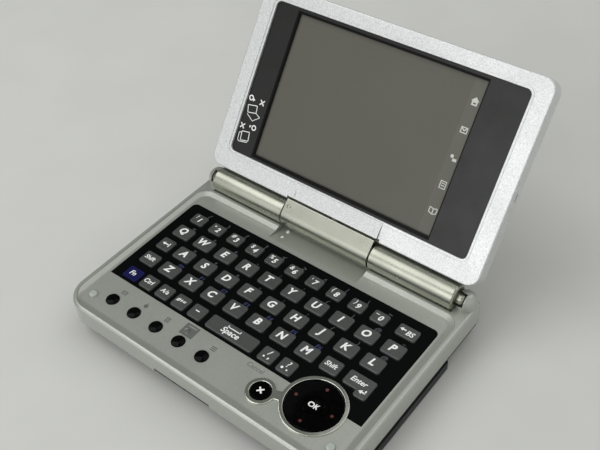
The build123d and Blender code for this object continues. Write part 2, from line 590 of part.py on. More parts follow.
# Upper case: rim, sunken deck, hinge trough and all openings of the deck
with BuildPart() as upper_case:
    with BuildSketch(Plane.XY.offset(PARTING_Z)) as case_sketch:
        case_outline(case_sketch, 0)
    extrude(amount=RIM_TOP - PARTING_Z)
    fillet(upper_case.faces().sort_by(Axis.Z)[-1].edges(), RIM_ROUND)

    # Rounded shoulders at the rear corners, outside the ends of the barrels
    with BuildSketch(Plane.XY.offset(SHOULDER_FOOT)):
        with Locations((SHOULDER_X, SHOULDER_Y), (-SHOULDER_X, SHOULDER_Y)):
            RectangleRounded(SHOULDER_WIDTH, SHOULDER_DEPTH, SHOULDER_RADIUS)
    extrude(amount=SHOULDER_TOP - SHOULDER_FOOT)
    fillet(upper_case.faces().sort_by(Axis.Z)[-2:].edges(), SHOULDER_ROUND)

    # Hollow underneath, deeper below the deck than below the hinge
    with BuildSketch(Plane.XY.offset(PARTING_Z)) as hollow_sketch:
        case_outline(hollow_sketch, CASE_WALL)
    extrude(amount=REAR_CEILING - PARTING_Z, mode=Mode.SUBTRACT)
    with BuildSketch(Plane.XY.offset(REAR_CEILING)) as deep_sketch:
        case_outline(deep_sketch, CASE_WALL)
        with Locations((0, SCOOP_FRONT - CASE_WALL)):
            Rectangle(CASE_WIDTH, CASE_DEPTH, align=(Align.CENTER, Align.MAX), mode=Mode.INTERSECT)
    extrude(amount=DECK_BOTTOM - REAR_CEILING, mode=Mode.SUBTRACT)

    # Sunken deck: a gentle slope rises all round it to the steep lip of the rim
    lip_step = LIP_HEIGHT * tan(radians(LIP_ANGLE))
    with BuildSketch(Plane.XY.offset(RIM_TOP - LIP_HEIGHT)) as lip_sketch:
        recess_outline(lip_sketch, lip_step, LIP_FRONT_RADIUS - lip_step, LIP_REAR_RADIUS - lip_step)
    extrude(amount=LIP_HEIGHT, taper=-LIP_ANGLE, mode=Mode.SUBTRACT)
    with BuildSketch(Plane.XY.offset(DECK_Z)) as deck_sketch:
        recess_outline(deck_sketch, SLOPE_WIDTH, DECK_FRONT_RADIUS, DECK_REAR_RADIUS)
    with BuildSketch(Plane.XY.offset(RIM_TOP - LIP_HEIGHT)) as slope_sketch:
        recess_outline(slope_sketch, lip_step, LIP_FRONT_RADIUS - lip_step, LIP_REAR_RADIUS - lip_step)
    loft(ruled=True, mode=Mode.SUBTRACT)
    fillet(upper_case.edges().filter_by_position(Axis.Z, DECK_Z, DECK_Z), SLOPE_ROUND)

    # Trough under the barrels, wider under the turning block, and the low sill behind it
    with BuildSketch(side_plane(0)):
        with Locations((HINGE_Y, HINGE_Z)):
            Circle(BARREL_RADIUS + SEAT_FIT)
        with Locations((HINGE_Y, REAR_SILL)):
            Rectangle(CASE_DEPTH, CASE_DEPTH, align=(Align.MIN, Align.MIN))
    extrude(amount=BARREL_END + SEAM, both=True, mode=Mode.SUBTRACT)
    with BuildSketch(side_plane(0)):
        with Locations((HINGE_Y, HINGE_Z)):
            Circle(BARREL_RADIUS + TROUGH_GAP)
        with Locations((HINGE_Y, RIM_TOP - TROUGH_GAP_DEPTH)):
            Rectangle(CASE_DEPTH, CASE_DEPTH, align=(Align.MAX, Align.MIN), mode=Mode.INTERSECT)
    extrude(amount=BARREL_END + SEAM, both=True, mode=Mode.SUBTRACT)
    with BuildSketch(side_plane(0)):
        with Locations((HINGE_Y, HINGE_Z)):
            Circle(BARREL_RADIUS + BLOCK_CLEARANCE)
        with BuildLine():
            ThreePointArc(
                (SCOOP_FRONT, DECK_Z),
                ((SCOOP_FRONT + SCOOP_REAR) / 2, (DECK_Z + 3 * SCOOP_FLOOR) / 4),
                (SCOOP_REAR, SCOOP_FLOOR),
            )
            Polyline(
                (SCOOP_REAR, SCOOP_FLOOR),
                (SCOOP_REAR, HINGE_Z),
                (SCOOP_FRONT, HINGE_Z),
                (SCOOP_FRONT, DECK_Z),
            )
        make_face()
    extrude(amount=TRIM_HALF_WIDTH + BLOCK_CLEARANCE, both=True, mode=Mode.SUBTRACT)

    # Pockets in the shoulders for the studs at the ends of the barrels
    with BuildSketch(side_plane(BARREL_END)):
        with Locations((HINGE_Y, HINGE_Z)):
            Circle(STUD_RADIUS + STUD_POCKET_GAP)
    stud_pocket = extrude(amount=SEAM + STUD_LENGTH + BUTTON_GAP, mode=Mode.SUBTRACT)
    mirror(stud_pocket, about=Plane.YZ, mode=Mode.SUBTRACT)

    # Seat and opening of the keyboard panel
    with BuildSketch(Plane.XY.offset(PANEL_BOTTOM)) as seat_sketch:
        panel_outline(seat_sketch, PANEL_FIT)
    extrude(amount=PANEL_THICKNESS + DECK_DROP, mode=Mode.SUBTRACT)
    with BuildSketch(Plane.XY.offset(DECK_BOTTOM)) as opening_sketch:
        panel_outline(opening_sketch, -PANEL_LEDGE)
    extrude(amount=DECK_THICKNESS, mode=Mode.SUBTRACT)

    # Round holes for the pad and the buttons, and blind holes for the bumpers
    with BuildSketch(Plane.XY.offset(DECK_BOTTOM)):
        with Locations((PAD_X, PAD_Y)):
            Circle(PAD_RADIUS + PAD_GAP)
        with Locations((CANCEL_X, CANCEL_Y)):
            Circle(CANCEL_RADIUS + PAD_GAP)
        with Locations(*[(x, APP_BUTTON_Y) for x in APP_BUTTON_XS]):
            Circle(APP_BUTTON_RADIUS + BUTTON_GAP)
    extrude(amount=DECK_THICKNESS, mode=Mode.SUBTRACT)
    with BuildSketch(Plane.XY.offset(DECK_Z - DECK_THICKNESS / 2)):
        with Locations(*BUMPER_PLACES):
            Circle(BUMPER_RADIUS + SEAT_FIT)
    extrude(amount=DECK_THICKNESS / 2, mode=Mode.SUBTRACT)

    # Screw bosses under the deck, with their blind holes
    with BuildSketch(Plane.XY.offset(PARTING_Z)):
        with Locations(*SCREW_PLACES):
            Circle(BOSS_RADIUS)
            Circle(SCREW_RADIUS, mode=Mode.SUBTRACT)
    extrude(amount=DECK_BOTTOM - PARTING_Z)

    # Blind holes for the two lamps in the scoop
    with BuildSketch(Plane.XY.offset(LAMP_FOOT)):
        with Locations(*LAMP_PLACES):
            Circle(LAMP_RADIUS + SEAT_FIT)
    extrude(amount=DECK_Z - LAMP_FOOT, mode=Mode.SUBTRACT)

    # Card slot in the front, stylus hole in the rear and jack hole in the left side
    with BuildSketch(Plane.XY.offset(PARTING_Z)):
        with Locations((SLOT_X, CASE_FRONT)):
            Rectangle(SLOT_WIDTH, 3 * CASE_WALL)
    extrude(amount=SLOT_HEIGHT, mode=Mode.SUBTRACT)
    with BuildSketch(Plane.XZ.offset(-CASE_REAR)):
        with Locations((STYLUS_X, STYLUS_Z)):
            Circle(STYLUS_RADIUS + STYLUS_FIT)
    extrude(amount=2 * CASE_WALL, mode=Mode.SUBTRACT)
    with BuildSketch(side_plane(-CASE_SIDE)):
        with Locations((JACK_Y, JACK_Z)):
            Circle(JACK_HOLE)
    extrude(amount=2 * CASE_WALL, mode=Mode.SUBTRACT)
save(upper_case, "upper_case")

# Lower case: a shallow tray with the battery opening, the latch slot and the screw holes
with BuildPart() as lower_case:
    with BuildSketch(Plane.XY.offset(BULGE_HEIGHT)) as tray_sketch:
        case_outline(tray_sketch, LOWER_INSET)
    extrude(amount=PARTING_Z - BULGE_HEIGHT)
    with BuildSketch(Plane.XY.offset(LOWER_FLOOR)) as tray_hollow:
        case_outline(tray_hollow, LOWER_INSET + CASE_WALL)
    extrude(amount=PARTING_Z - LOWER_FLOOR, mode=Mode.SUBTRACT)
    tray_front = CASE_FRONT + LOWER_INSET
    with BuildSketch(side_plane(0)):
        with BuildLine():
            Polyline(
                (tray_front, BULGE_HEIGHT),
                (tray_front + LOWER_FRONT_SLANT, BULGE_HEIGHT),
                (tray_front, BULGE_HEIGHT + LOWER_FRONT_SLANT),
                close=True,
            )
        make_face()
    extrude(amount=CASE_SIDE, both=True, mode=Mode.SUBTRACT)
    with BuildSketch(Plane.XY.offset(BULGE_HEIGHT)):
        with Locations((0, BATTERY_Y)):
            Rectangle(BATTERY_WIDTH + 2 * BATTERY_GAP, BATTERY_DEPTH + 2 * BATTERY_GAP)
        with Locations((0, LATCH_Y)):
            Rectangle(LATCH_LENGTH + LATCH_TRAVEL + 2 * BATTERY_GAP, LATCH_WIDTH + 2 * BUTTON_GAP)
        with Locations(*SCREW_PLACES):
            Circle(SCREW_RADIUS + SEAT_FIT)
    extrude(amount=FLOOR_THICKNESS, mode=Mode.SUBTRACT)
    with BuildSketch(Plane.XY.offset(BULGE_HEIGHT)):
        with Locations(*SCREW_PLACES):
            Circle(SCREW_HEAD_RADIUS + SEAM)
    extrude(amount=SCREW_HEAD_HEIGHT, mode=Mode.SUBTRACT)
    with BuildSketch(Plane.XY.offset(LOWER_FLOOR)):
        with Locations(*SCREW_PLACES):
            Circle(BOSS_RADIUS)
            Circle(SCREW_RADIUS + SEAT_FIT, mode=Mode.SUBTRACT)
    extrude(amount=PARTING_Z - LOWER_FLOOR)
save(lower_case, "lower_case")

# Screws of the case, put in from below
with BuildPart() as case_screws:
    with BuildSketch(Plane.XY.offset(BULGE_HEIGHT)):
        with Locations(*SCREW_PLACES):
            Circle(SCREW_HEAD_RADIUS)
    extrude(amount=SCREW_HEAD_HEIGHT)
    with BuildSketch(Plane.XY.offset(BULGE_HEIGHT + SCREW_HEAD_HEIGHT)):
        with Locations(*SCREW_PLACES):
            Circle(SCREW_RADIUS)
    extrude(amount=SCREW_LENGTH)
    with BuildSketch(Plane.XY.offset(BULGE_HEIGHT)):
        with Locations(*SCREW_PLACES):
            Rectangle(SCREW_HEAD_RADIUS, SCREW_HEAD_RADIUS / 4)
            Rectangle(SCREW_HEAD_RADIUS / 4, SCREW_HEAD_RADIUS)
    extrude(amount=SCREW_HEAD_HEIGHT / 2, mode=Mode.SUBTRACT)
save(case_screws, "case_screws")

# Battery cover: the bulging tray that the organizer stands on
with BuildPart() as battery_cover:
    with BuildSketch() as cover_sketch:
        with Locations((0, (COVER_FRONT + COVER_REAR) / 2)):
            Rectangle(COVER_WIDTH, COVER_REAR - COVER_FRONT)
        fillet(cover_sketch.vertices().group_by(Axis.Y)[0], COVER_FRONT_RADIUS)
        chamfer(cover_sketch.vertices().group_by(Axis.Y)[-1], COVER_REAR_CHAMFER)
    extrude(amount=BULGE_HEIGHT - SEAM)
    fillet(battery_cover.faces().sort_by(Axis.Z)[0].edges(), COVER_ROUND)
    with BuildSketch(Plane.XY.offset(COVER_FLOOR)):
        offset(cover_sketch.sketch, amount=-COVER_WALL)
    extrude(amount=BULGE_HEIGHT, mode=Mode.SUBTRACT)
    with BuildSketch(Plane.XY.offset(COVER_FLOOR)):
        with Locations((0, BATTERY_Y)):
            with GridLocations(BATTERY_WIDTH + 2 * BATTERY_GAP + COVER_WALL, 0, 2, 1):
                Rectangle(COVER_WALL, BATTERY_DEPTH - 2 * COVER_WALL)
    extrude(amount=BULGE_HEIGHT - COVER_FLOOR - 2 * SEAM)
save(battery_cover, "battery_cover")

# Battery pack, standing up through the lower case
with BuildPart() as battery_pack:
    with BuildSketch(Plane.XY.offset(COVER_FLOOR + BUTTON_GAP)):
        with Locations((0, BATTERY_Y)):
            RectangleRounded(BATTERY_WIDTH, BATTERY_DEPTH, COVER_WALL)
    extrude(amount=BATTERY_HEIGHT)
    fillet(battery_pack.faces().sort_by(Axis.Z)[0].edges(), BATTERY_ROUND)
save(battery_pack, "battery_pack")

# Latch of the battery cover: a ribbed slider with a lip inside the lower case
with BuildPart() as battery_latch:
    latch_x = -LATCH_TRAVEL / 2
    latch_foot = BULGE_HEIGHT - LATCH_RISE
    lip_foot = LOWER_FLOOR + BUTTON_GAP
    with BuildSketch(Plane.XY.offset(latch_foot)):
        with Locations((latch_x, LATCH_Y)):
            Rectangle(LATCH_LENGTH, LATCH_WIDTH)
    extrude(amount=lip_foot - latch_foot)
    with BuildSketch(Plane.XY.offset(lip_foot)):
        with Locations((latch_x, LATCH_Y)):
            Rectangle(LATCH_LENGTH + LATCH_TRAVEL, LATCH_WIDTH + 2 * LATCH_LIP)
    extrude(amount=LATCH_RISE)
    with BuildSketch(Plane.XY.offset(latch_foot)):
        with Locations((latch_x, LATCH_Y)):
            with GridLocations(LATCH_LENGTH / (LATCH_RIB_COUNT + 1), 0, LATCH_RIB_COUNT, 1):
                Rectangle(LATCH_LENGTH / (LATCH_RIB_COUNT + 1) / 2, LATCH_WIDTH)
    extrude(amount=LATCH_RISE / 2, mode=Mode.SUBTRACT)
save(battery_latch, "battery_latch")

# Rear feet, as tall as the battery cover
with BuildPart() as rear_feet:
    with BuildSketch():
        with Locations(*FOOT_PLACES):
            Circle(FOOT_RADIUS)
    extrude(amount=BULGE_HEIGHT)
    fillet(rear_feet.faces().group_by(Axis.Z)[0].edges(), FOOT_ROUND)
save(rear_feet, "rear_feet")

# Main board with its chips underneath
with BuildPart() as main_board:
    with BuildSketch(Plane.XY.offset(BOARD_BOTTOM)):
        with Locations(((BOARD_LEFT + BOARD_RIGHT) / 2, (BOARD_FRONT + BOARD_REAR) / 2)):
            RectangleRounded(BOARD_RIGHT - BOARD_LEFT, BOARD_REAR - BOARD_FRONT, COVER_WALL)
    extrude(amount=BOARD_THICKNESS)
    with BuildSketch(Plane.XY.offset(BOARD_BOTTOM - CHIP_HEIGHT)):
        for chip_place, chip_size in zip(CHIP_PLACES, CHIP_SIZES):
            with Locations(chip_place):
                Rectangle(chip_size, chip_size)
    extrude(amount=CHIP_HEIGHT)
save(main_board, "main_board")

# Buzzer under the board
with BuildPart() as buzzer:
    with BuildSketch(Plane.XY.offset(BOARD_BOTTOM - BUZZER_HEIGHT)):
        with Locations((BUZZER_X, BUZZER_Y)):
            Circle(BUZZER_RADIUS)
    extrude(amount=BUZZER_HEIGHT)
    chamfer(buzzer.faces().sort_by(Axis.Z)[0].edges(), BUZZER_EDGE)
    with BuildSketch(Plane.XY.offset(BOARD_BOTTOM - BUZZER_HEIGHT)):
        with Locations((BUZZER_X, BUZZER_Y)):
            Circle(BUZZER_VENT)
    extrude(amount=BUZZER_VENT_DEPTH, mode=Mode.SUBTRACT)
save(buzzer, "buzzer")

# Rubber mat under all keys, cut out round the screw bosses
with BuildPart() as keypad_mat:
    with BuildSketch(Plane.XY.offset(BOARD_TOP)):
        with Locations(((MAT_LEFT + MAT_RIGHT) / 2, (MAT_FRONT + MAT_REAR) / 2)):
            RectangleRounded(MAT_RIGHT - MAT_LEFT, MAT_REAR - MAT_FRONT, COVER_WALL)
        with Locations(*SCREW_PLACES):
            Circle(BOSS_RADIUS + BUTTON_GAP, mode=Mode.SUBTRACT)
    extrude(amount=MAT_THICKNESS)
save(keypad_mat, "keypad_mat")

# Card socket behind the front slot
with BuildPart() as card_socket:
    socket_front = CASE_FRONT + LOWER_INSET + CASE_WALL + BUTTON_GAP
    with BuildSketch(Plane.XY.offset(LOWER_FLOOR)):
        with Locations((SLOT_X, (socket_front + SOCKET_REAR) / 2)):
            Rectangle(SLOT_WIDTH + 2 * SOCKET_WALL, SOCKET_REAR - socket_front)
    extrude(amount=BOARD_BOTTOM - LOWER_FLOOR)
    with BuildSketch(Plane.XY.offset(PARTING_Z)):
        with Locations((SLOT_X, (socket_front + SOCKET_REAR) / 2 - SOCKET_WALL)):
            Rectangle(SLOT_WIDTH, SOCKET_REAR - socket_front)
    extrude(amount=SLOT_HEIGHT, mode=Mode.SUBTRACT)
save(card_socket, "card_socket")

# Earphone jack behind the left side
with BuildPart() as earphone_jack:
    jack_mouth = -CASE_SIDE + CASE_WALL + SEAM
    with BuildSketch(side_plane(jack_mouth)):
        with Locations((JACK_Y, JACK_Z)):
            Rectangle(JACK_SIZE, JACK_SIZE)
            Circle(JACK_BORE, mode=Mode.SUBTRACT)
    extrude(amount=JACK_LENGTH)
save(earphone_jack, "earphone_jack")

# Stylus in its hole at the left rear, tip forwards
with BuildPart() as stylus:
    with BuildSketch(Plane.YZ.offset(STYLUS_X)):
        with BuildLine():
            stylus_top = STYLUS_Z + STYLUS_RADIUS
            Polyline(
                (STYLUS_TIP, STYLUS_Z),
                (STYLUS_TIP + STYLUS_RADIUS / 2, STYLUS_Z + STYLUS_RADIUS / 3),
                (STYLUS_TIP + 4 * STYLUS_RADIUS, stylus_top),
                (CASE_REAR - SEAM, stylus_top),
                (CASE_REAR + SEAM, stylus_top - 2 * SEAM),
                (CASE_REAR + SEAM, STYLUS_Z),
                close=True,
            )
        make_face()
    revolve(axis=Axis((STYLUS_X, 0, STYLUS_Z), (0, 1, 0)))
save(stylus, "stylus")

# Keyboard panel, with a hole for each key
with BuildPart() as keyboard_panel:
    with BuildSketch(Plane.XY.offset(PANEL_BOTTOM)) as panel_sketch:
        panel_outline(panel_sketch, 0)
    extrude(amount=PANEL_THICKNESS)
    with BuildSketch(Plane.XY.offset(PANEL_BOTTOM)):
        for key_name in KEY_ROWS:
            key_outline(key_name, KEY_GAP)
    extrude(amount=PANEL_THICKNESS, mode=Mode.SUBTRACT)
save(keyboard_panel, "keyboard_panel")

# Keys: a wide lip under the panel and a cap with a bevelled top
for key_name in KEY_ROWS:
    proud = FN_PROUD if key_name == "fn_key" else KEY_PROUD
    with BuildPart() as keys:
        with BuildSketch(Plane.XY.offset(KEY_BOTTOM)):
            key_outline(key_name, KEY_LIP)
        extrude(amount=KEY_LIP_THICKNESS)
        with BuildSketch(Plane.XY.offset(KEY_BOTTOM + KEY_LIP_THICKNESS)):
            key_outline(key_name, 0)
        extrude(amount=DECK_Z + proud - KEY_BOTTOM - KEY_LIP_THICKNESS)
        chamfer(keys.faces().group_by(Axis.Z)[-1].edges(), min(KEY_EDGE, proud / 2))
    save(keys, key_name)

# Five small domed buttons along the front
for place, button_x in enumerate(APP_BUTTON_XS, start=1):
    with BuildPart() as app_button:
        with BuildSketch(Plane.XZ.offset(-APP_BUTTON_Y)):
            with BuildLine():
                foot = KEY_BOTTOM
                lip_top = KEY_BOTTOM + KEY_LIP_THICKNESS
                shoulder = DECK_Z + KEY_PROUD - APP_BUTTON_DOME
                dome_radius = (APP_BUTTON_RADIUS**2 + APP_BUTTON_DOME**2) / (2 * APP_BUTTON_DOME)
                dome_drop = dome_radius - sqrt(dome_radius**2 - APP_BUTTON_RADIUS**2 / 4)
                Polyline(
                    (button_x, DECK_Z + KEY_PROUD),
                    (button_x, foot),
                    (button_x + APP_BUTTON_RADIUS + KEY_LIP, foot),
                    (button_x + APP_BUTTON_RADIUS + KEY_LIP, lip_top),
                    (button_x + APP_BUTTON_RADIUS, lip_top),
                    (button_x + APP_BUTTON_RADIUS, shoulder),
                )
                ThreePointArc(
                    (button_x + APP_BUTTON_RADIUS, shoulder),
                    (button_x + APP_BUTTON_RADIUS / 2, DECK_Z + KEY_PROUD - dome_drop),
                    (button_x, DECK_Z + KEY_PROUD),
                )
            make_face()
        revolve(axis=Axis((button_x, APP_BUTTON_Y, 0), (0, 0, 1)))
    save(app_button, f"app_button_{place}")

# Cancel button with a flat top
with BuildPart() as cancel_button:
    with BuildSketch(Plane.XY.offset(KEY_BOTTOM)):
        with Locations((CANCEL_X, CANCEL_Y)):
            Circle(CANCEL_RADIUS + KEY_LIP)
    extrude(amount=KEY_LIP_THICKNESS)
    with BuildSketch(Plane.XY.offset(KEY_BOTTOM + KEY_LIP_THICKNESS)):
        with Locations((CANCEL_X, CANCEL_Y)):
            Circle(CANCEL_RADIUS)
    extrude(amount=KEY_TOP - KEY_BOTTOM - KEY_LIP_THICKNESS)
    fillet(cancel_button.faces().sort_by(Axis.Z)[-1].edges(), KEY_EDGE)
save(cancel_button, "cancel_button")

# The neck between the rings runs from centre to centre
NECK_LENGTH = hypot(PAD_X - CANCEL_X, PAD_Y - CANCEL_Y)
NECK_ANGLE = degrees(atan2(PAD_Y - CANCEL_Y, PAD_X - CANCEL_X))
NECK_CENTRE = ((PAD_X + CANCEL_X) / 2, (PAD_Y + CANCEL_Y) / 2)
NECK_SHARE = (CANCEL_RING_RADIUS + (NECK_LENGTH - PAD_RING_RADIUS - CANCEL_RING_RADIUS) / 2) / NECK_LENGTH
NECK_GAP_POINT = (CANCEL_X + NECK_SHARE * (PAD_X - CANCEL_X), CANCEL_Y + NECK_SHARE * (PAD_Y - CANCEL_Y), 0)

# Bright rings round the pad and the cancel button, joined by a waisted neck
with BuildPart() as pad_ring:
    with BuildSketch(Plane.XY.offset(DECK_Z)) as ring_sketch:
        with Locations((PAD_X, PAD_Y)):
            Circle(PAD_RING_RADIUS)
        with Locations((CANCEL_X, CANCEL_Y)):
            Circle(CANCEL_RING_RADIUS)
        with Locations(Location((*NECK_CENTRE, 0), (0, 0, NECK_ANGLE))):
            Rectangle(NECK_LENGTH, NECK_WIDTH)
        fillet(ring_sketch.vertices().sort_by_distance(NECK_GAP_POINT)[:4], NECK_FILLET)
        with Locations((PAD_X, PAD_Y)):
            Circle(PAD_RADIUS + PAD_GAP, mode=Mode.SUBTRACT)
        with Locations((CANCEL_X, CANCEL_Y)):
            Circle(CANCEL_RADIUS + PAD_GAP, mode=Mode.SUBTRACT)
    extrude(amount=PAD_RING_RISE)
    fillet(pad_ring.faces().sort_by(Axis.Z)[-1].edges(), PAD_RING_RISE / 3)
save(pad_ring, "pad_ring")

# Direction pad: a round rocking disc with a hollow middle for the OK button
with BuildPart() as direction_pad:
    with BuildSketch(Plane.XZ.offset(-PAD_Y)):
        with BuildLine():
            pad_inner = PAD_X + OK_RADIUS + PAD_GAP
            pad_outer = PAD_X + PAD_RADIUS
            Polyline(
                (pad_inner, KEY_TOP - PAD_DISH),
                (pad_inner, PAD_FOOT),
                (pad_outer, PAD_FOOT),
                (pad_outer, KEY_TOP - KEY_EDGE),
                (pad_outer - KEY_EDGE, KEY_TOP),
            )
            ThreePointArc(
                (pad_outer - KEY_EDGE, KEY_TOP),
                ((pad_inner + pad_outer) / 2, KEY_TOP - PAD_DISH * 3 / 4),
                (pad_inner, KEY_TOP - PAD_DISH),
            )
        make_face()
    revolve(axis=Axis((PAD_X, PAD_Y, 0), (0, 0, 1)))
    with BuildSketch(side_plane(PAD_X)):
        with Locations((PAD_Y, UPPER_RIDGE_Z)):
            Circle(RIDGE_RADIUS + RUNNING_FIT)
    extrude(amount=ROCKER_RADIUS + SEAM, both=True, mode=Mode.SUBTRACT)
save(direction_pad, "direction_pad")

# Springy ring under the pad: two ridges on top for one way of rocking, two below for the other
with BuildPart() as pad_rocker_ring:
    with BuildSketch(Plane.XY.offset((UPPER_RIDGE_Z + LOWER_RIDGE_Z - ROCKER_THICKNESS) / 2)):
        with Locations((PAD_X, PAD_Y)):
            Circle(ROCKER_RADIUS)
    extrude(amount=ROCKER_THICKNESS)
    with BuildSketch(side_plane(PAD_X)):
        with Locations((PAD_Y, UPPER_RIDGE_Z)):
            Circle(RIDGE_RADIUS)
    extrude(amount=ROCKER_RADIUS - SEAM, both=True)
    with BuildSketch(Plane.XZ.offset(-PAD_Y)):
        with Locations((PAD_X, LOWER_RIDGE_Z)):
            Circle(RIDGE_RADIUS)
    extrude(amount=ROCKER_RADIUS - SEAM, both=True)
    with BuildSketch(Plane.XY.offset(LOWER_RIDGE_Z - RIDGE_RADIUS)):
        with Locations((PAD_X, PAD_Y)):
            Circle(OK_RADIUS + PAD_GAP)
    extrude(amount=RIDGE_SPACING + 2 * RIDGE_RADIUS, mode=Mode.SUBTRACT)
save(pad_rocker_ring, "pad_rocker_ring")

# OK button in the middle of the pad, with a shallow hollow for the fingertip
with BuildPart() as ok_button:
    with BuildSketch(Plane.XY.offset(KEY_BOTTOM)):
        with Locations((PAD_X, PAD_Y)):
            Circle(OK_RADIUS)
    extrude(amount=KEY_TOP - PAD_DISH - KEY_BOTTOM)
    with Locations((PAD_X, PAD_Y, KEY_TOP - PAD_DISH + 2 * OK_RADIUS)):
        Sphere(2 * OK_RADIUS + OK_DIMPLE, mode=Mode.SUBTRACT)
save(ok_button, "ok_button")

# Bumpers that keep the closed lid off the deck
with BuildPart() as deck_bumpers:
    with BuildSketch(Plane.XY.offset(DECK_Z - DECK_THICKNESS / 2)):
        with Locations(*BUMPER_PLACES):
            Circle(BUMPER_RADIUS)
    extrude(amount=RIM_TOP - DECK_Z + DECK_THICKNESS / 2)
    fillet(deck_bumpers.faces().group_by(Axis.Z)[-1].edges(), BUMPER_ROUND)
save(deck_bumpers, "deck_bumpers")

# Two small lamps in the scoop
with BuildPart() as indicator_lenses:
    with BuildSketch(Plane.XY.offset(LAMP_FOOT)):
        with Locations(*LAMP_PLACES):
            Circle(LAMP_RADIUS)
    extrude(amount=LAMP_TOP - LAMP_FOOT)
    fillet(indicator_lenses.faces().group_by(Axis.Z)[-1].edges(), LAMP_RADIUS / 2)
save(indicator_lenses, "indicator_lenses")


def hinge_cover(side):
    """One barrel beside the block, closed at both ends but for the pin."""
    inner_end = BLOCK_HALF_WIDTH + BLOCK_END_GAP
    with BuildPart() as barrel:
        with BuildSketch(side_plane(side * inner_end)):
            with Locations((HINGE_Y, HINGE_Z)):
                Circle(BARREL_RADIUS)
        extrude(amount=side * (BARREL_END - inner_end))
        outer_end = (side * CASE_SIDE, HINGE_Y, HINGE_Z)
        rims = barrel.edges().filter_by(GeomType.CIRCLE).sort_by_distance(outer_end)
        chamfer(rims[-1], SEAT_FIT * 4)
        fillet(rims[0], BARREL_END_ROUND)
        with BuildSketch(side_plane(side * (inner_end + PIN_COLLAR))):
            with Locations((HINGE_Y, HINGE_Z)):
                Circle(BARREL_RADIUS - BARREL_WALL)
        extrude(amount=side * (PIN_OUTER_END - inner_end - 2 * PIN_COLLAR), mode=Mode.SUBTRACT)
        with BuildSketch(side_plane(side * inner_end)):
            with Locations((HINGE_Y, HINGE_Z)):
                Circle(PIN_RADIUS + RUNNING_FIT)
        extrude(amount=side * (PIN_OUTER_END - inner_end), mode=Mode.SUBTRACT)
    return barrel


for side_name, side in (("left", -1), ("right", 1)):
    save(hinge_cover(side), f"{side_name}_hinge_cover")

# Domed studs at the outer ends of the barrels, in the pockets of the shoulders
with BuildPart() as hinge_caps:
    with BuildSketch(side_plane(BARREL_END + SEAM)):
        with Locations((HINGE_Y, HINGE_Z)):
            Circle(STUD_RADIUS)
    extrude(amount=STUD_LENGTH)
    fillet(hinge_caps.faces().sort_by(Axis.X)[-1].edges(), STUD_ROUND)
    mirror(about=Plane.YZ)
save(hinge_caps, "hinge_caps")

# Pins, fixed in the barrels and turning in the block
with BuildPart() as hinge_pins:
    with BuildSketch(side_plane(PIN_INNER_END)):
        with Locations((HINGE_Y, HINGE_Z)):
            Circle(PIN_RADIUS)
    extrude(amount=PIN_OUTER_END - PIN_INNER_END)
    mirror(about=Plane.YZ)
save(hinge_pins, "hinge_pins")

# Friction washers between the block and the barrels
with BuildPart() as hinge_washers:
    with BuildSketch(side_plane(BLOCK_HALF_WIDTH + (BLOCK_END_GAP - WASHER_THICKNESS) / 2)):
        with Locations((HINGE_Y, HINGE_Z)):
            Circle(BARREL_RADIUS - BARREL_WALL)
            Circle(PIN_RADIUS + RUNNING_FIT, mode=Mode.SUBTRACT)
    extrude(amount=WASHER_THICKNESS)
    mirror(about=Plane.YZ)
save(hinge_washers, "hinge_washers")


# Hinge block: a barrel with a flat neck, bored for the two pins and the swivel shaft, with a ring mark
with BuildPart() as hinge_block:
    with BuildSketch(lid_side_plane(0)):
        Circle(BARREL_RADIUS)
        with BuildLine():
            Polyline(
                (TANGENT_UP, TANGENT_OUT),
                (BLOCK_TOP, slope_out(BLOCK_TOP)),
                (BLOCK_TOP, -slope_out(BLOCK_TOP)),
                (TANGENT_UP, -TANGENT_OUT),
                close=True,
            )
        make_face()
    extrude(amount=BLOCK_HALF_WIDTH, both=True)
    fillet(hinge_block.edges().filter_by(Axis.X).sort_by(Axis.Z)[-1], BLOCK_ROUND)
    with BuildSketch(side_plane(BLOCK_HALF_WIDTH)):
        with Locations((HINGE_Y, HINGE_Z)):
            Circle(PIN_RADIUS + RUNNING_FIT)
    pin_bore = extrude(amount=PIN_INNER_END - SEAM - BLOCK_HALF_WIDTH, mode=Mode.SUBTRACT)
    mirror(pin_bore, about=Plane.YZ, mode=Mode.SUBTRACT)
    with BuildSketch(shaft_plane(SHAFT_FOOT)):
        Circle(SHAFT_RADIUS + RUNNING_FIT)
    extrude(amount=BLOCK_TOP - SHAFT_FOOT, mode=Mode.SUBTRACT)
    with BuildSketch(slope_plane(BLOCK_MARK_X, BLOCK_MARK_UP)):
        Circle(MARK_RADIUS)
        Circle(MARK_CORE, mode=Mode.SUBTRACT)
    extrude(amount=-MARK_DEPTH, mode=Mode.SUBTRACT)
save(hinge_block, "hinge_block")

# Swivel shaft: hollow, with a collar in the gap below the lid
with BuildPart() as swivel_shaft:
    with BuildSketch(shaft_plane(SHAFT_FOOT)):
        Circle(SHAFT_RADIUS)
    extrude(amount=SHAFT_TOP - SHAFT_FOOT)
    with BuildSketch(shaft_plane(BLOCK_TOP)):
        Circle(COLLAR_RADIUS)
    extrude(amount=COLLAR_HEIGHT)
    with BuildSketch(shaft_plane(SHAFT_FOOT)):
        Circle(SHAFT_BORE)
    extrude(amount=SHAFT_TOP - SHAFT_FOOT, mode=Mode.SUBTRACT)
save(swivel_shaft, "swivel_shaft")

# Bearing of the shaft, held between the two halves of the lid, and the clip above it
with BuildPart() as swivel_bearing:
    with BuildSketch(shaft_plane(BEARING_FOOT)):
        Rectangle(BEARING_WIDTH, LID_THICKNESS - 2 * LID_WALL - 2 * SEAM)
        Circle(SHAFT_RADIUS + RUNNING_FIT, mode=Mode.SUBTRACT)
    extrude(amount=BEARING_THICKNESS)
save(swivel_bearing, "swivel_bearing")

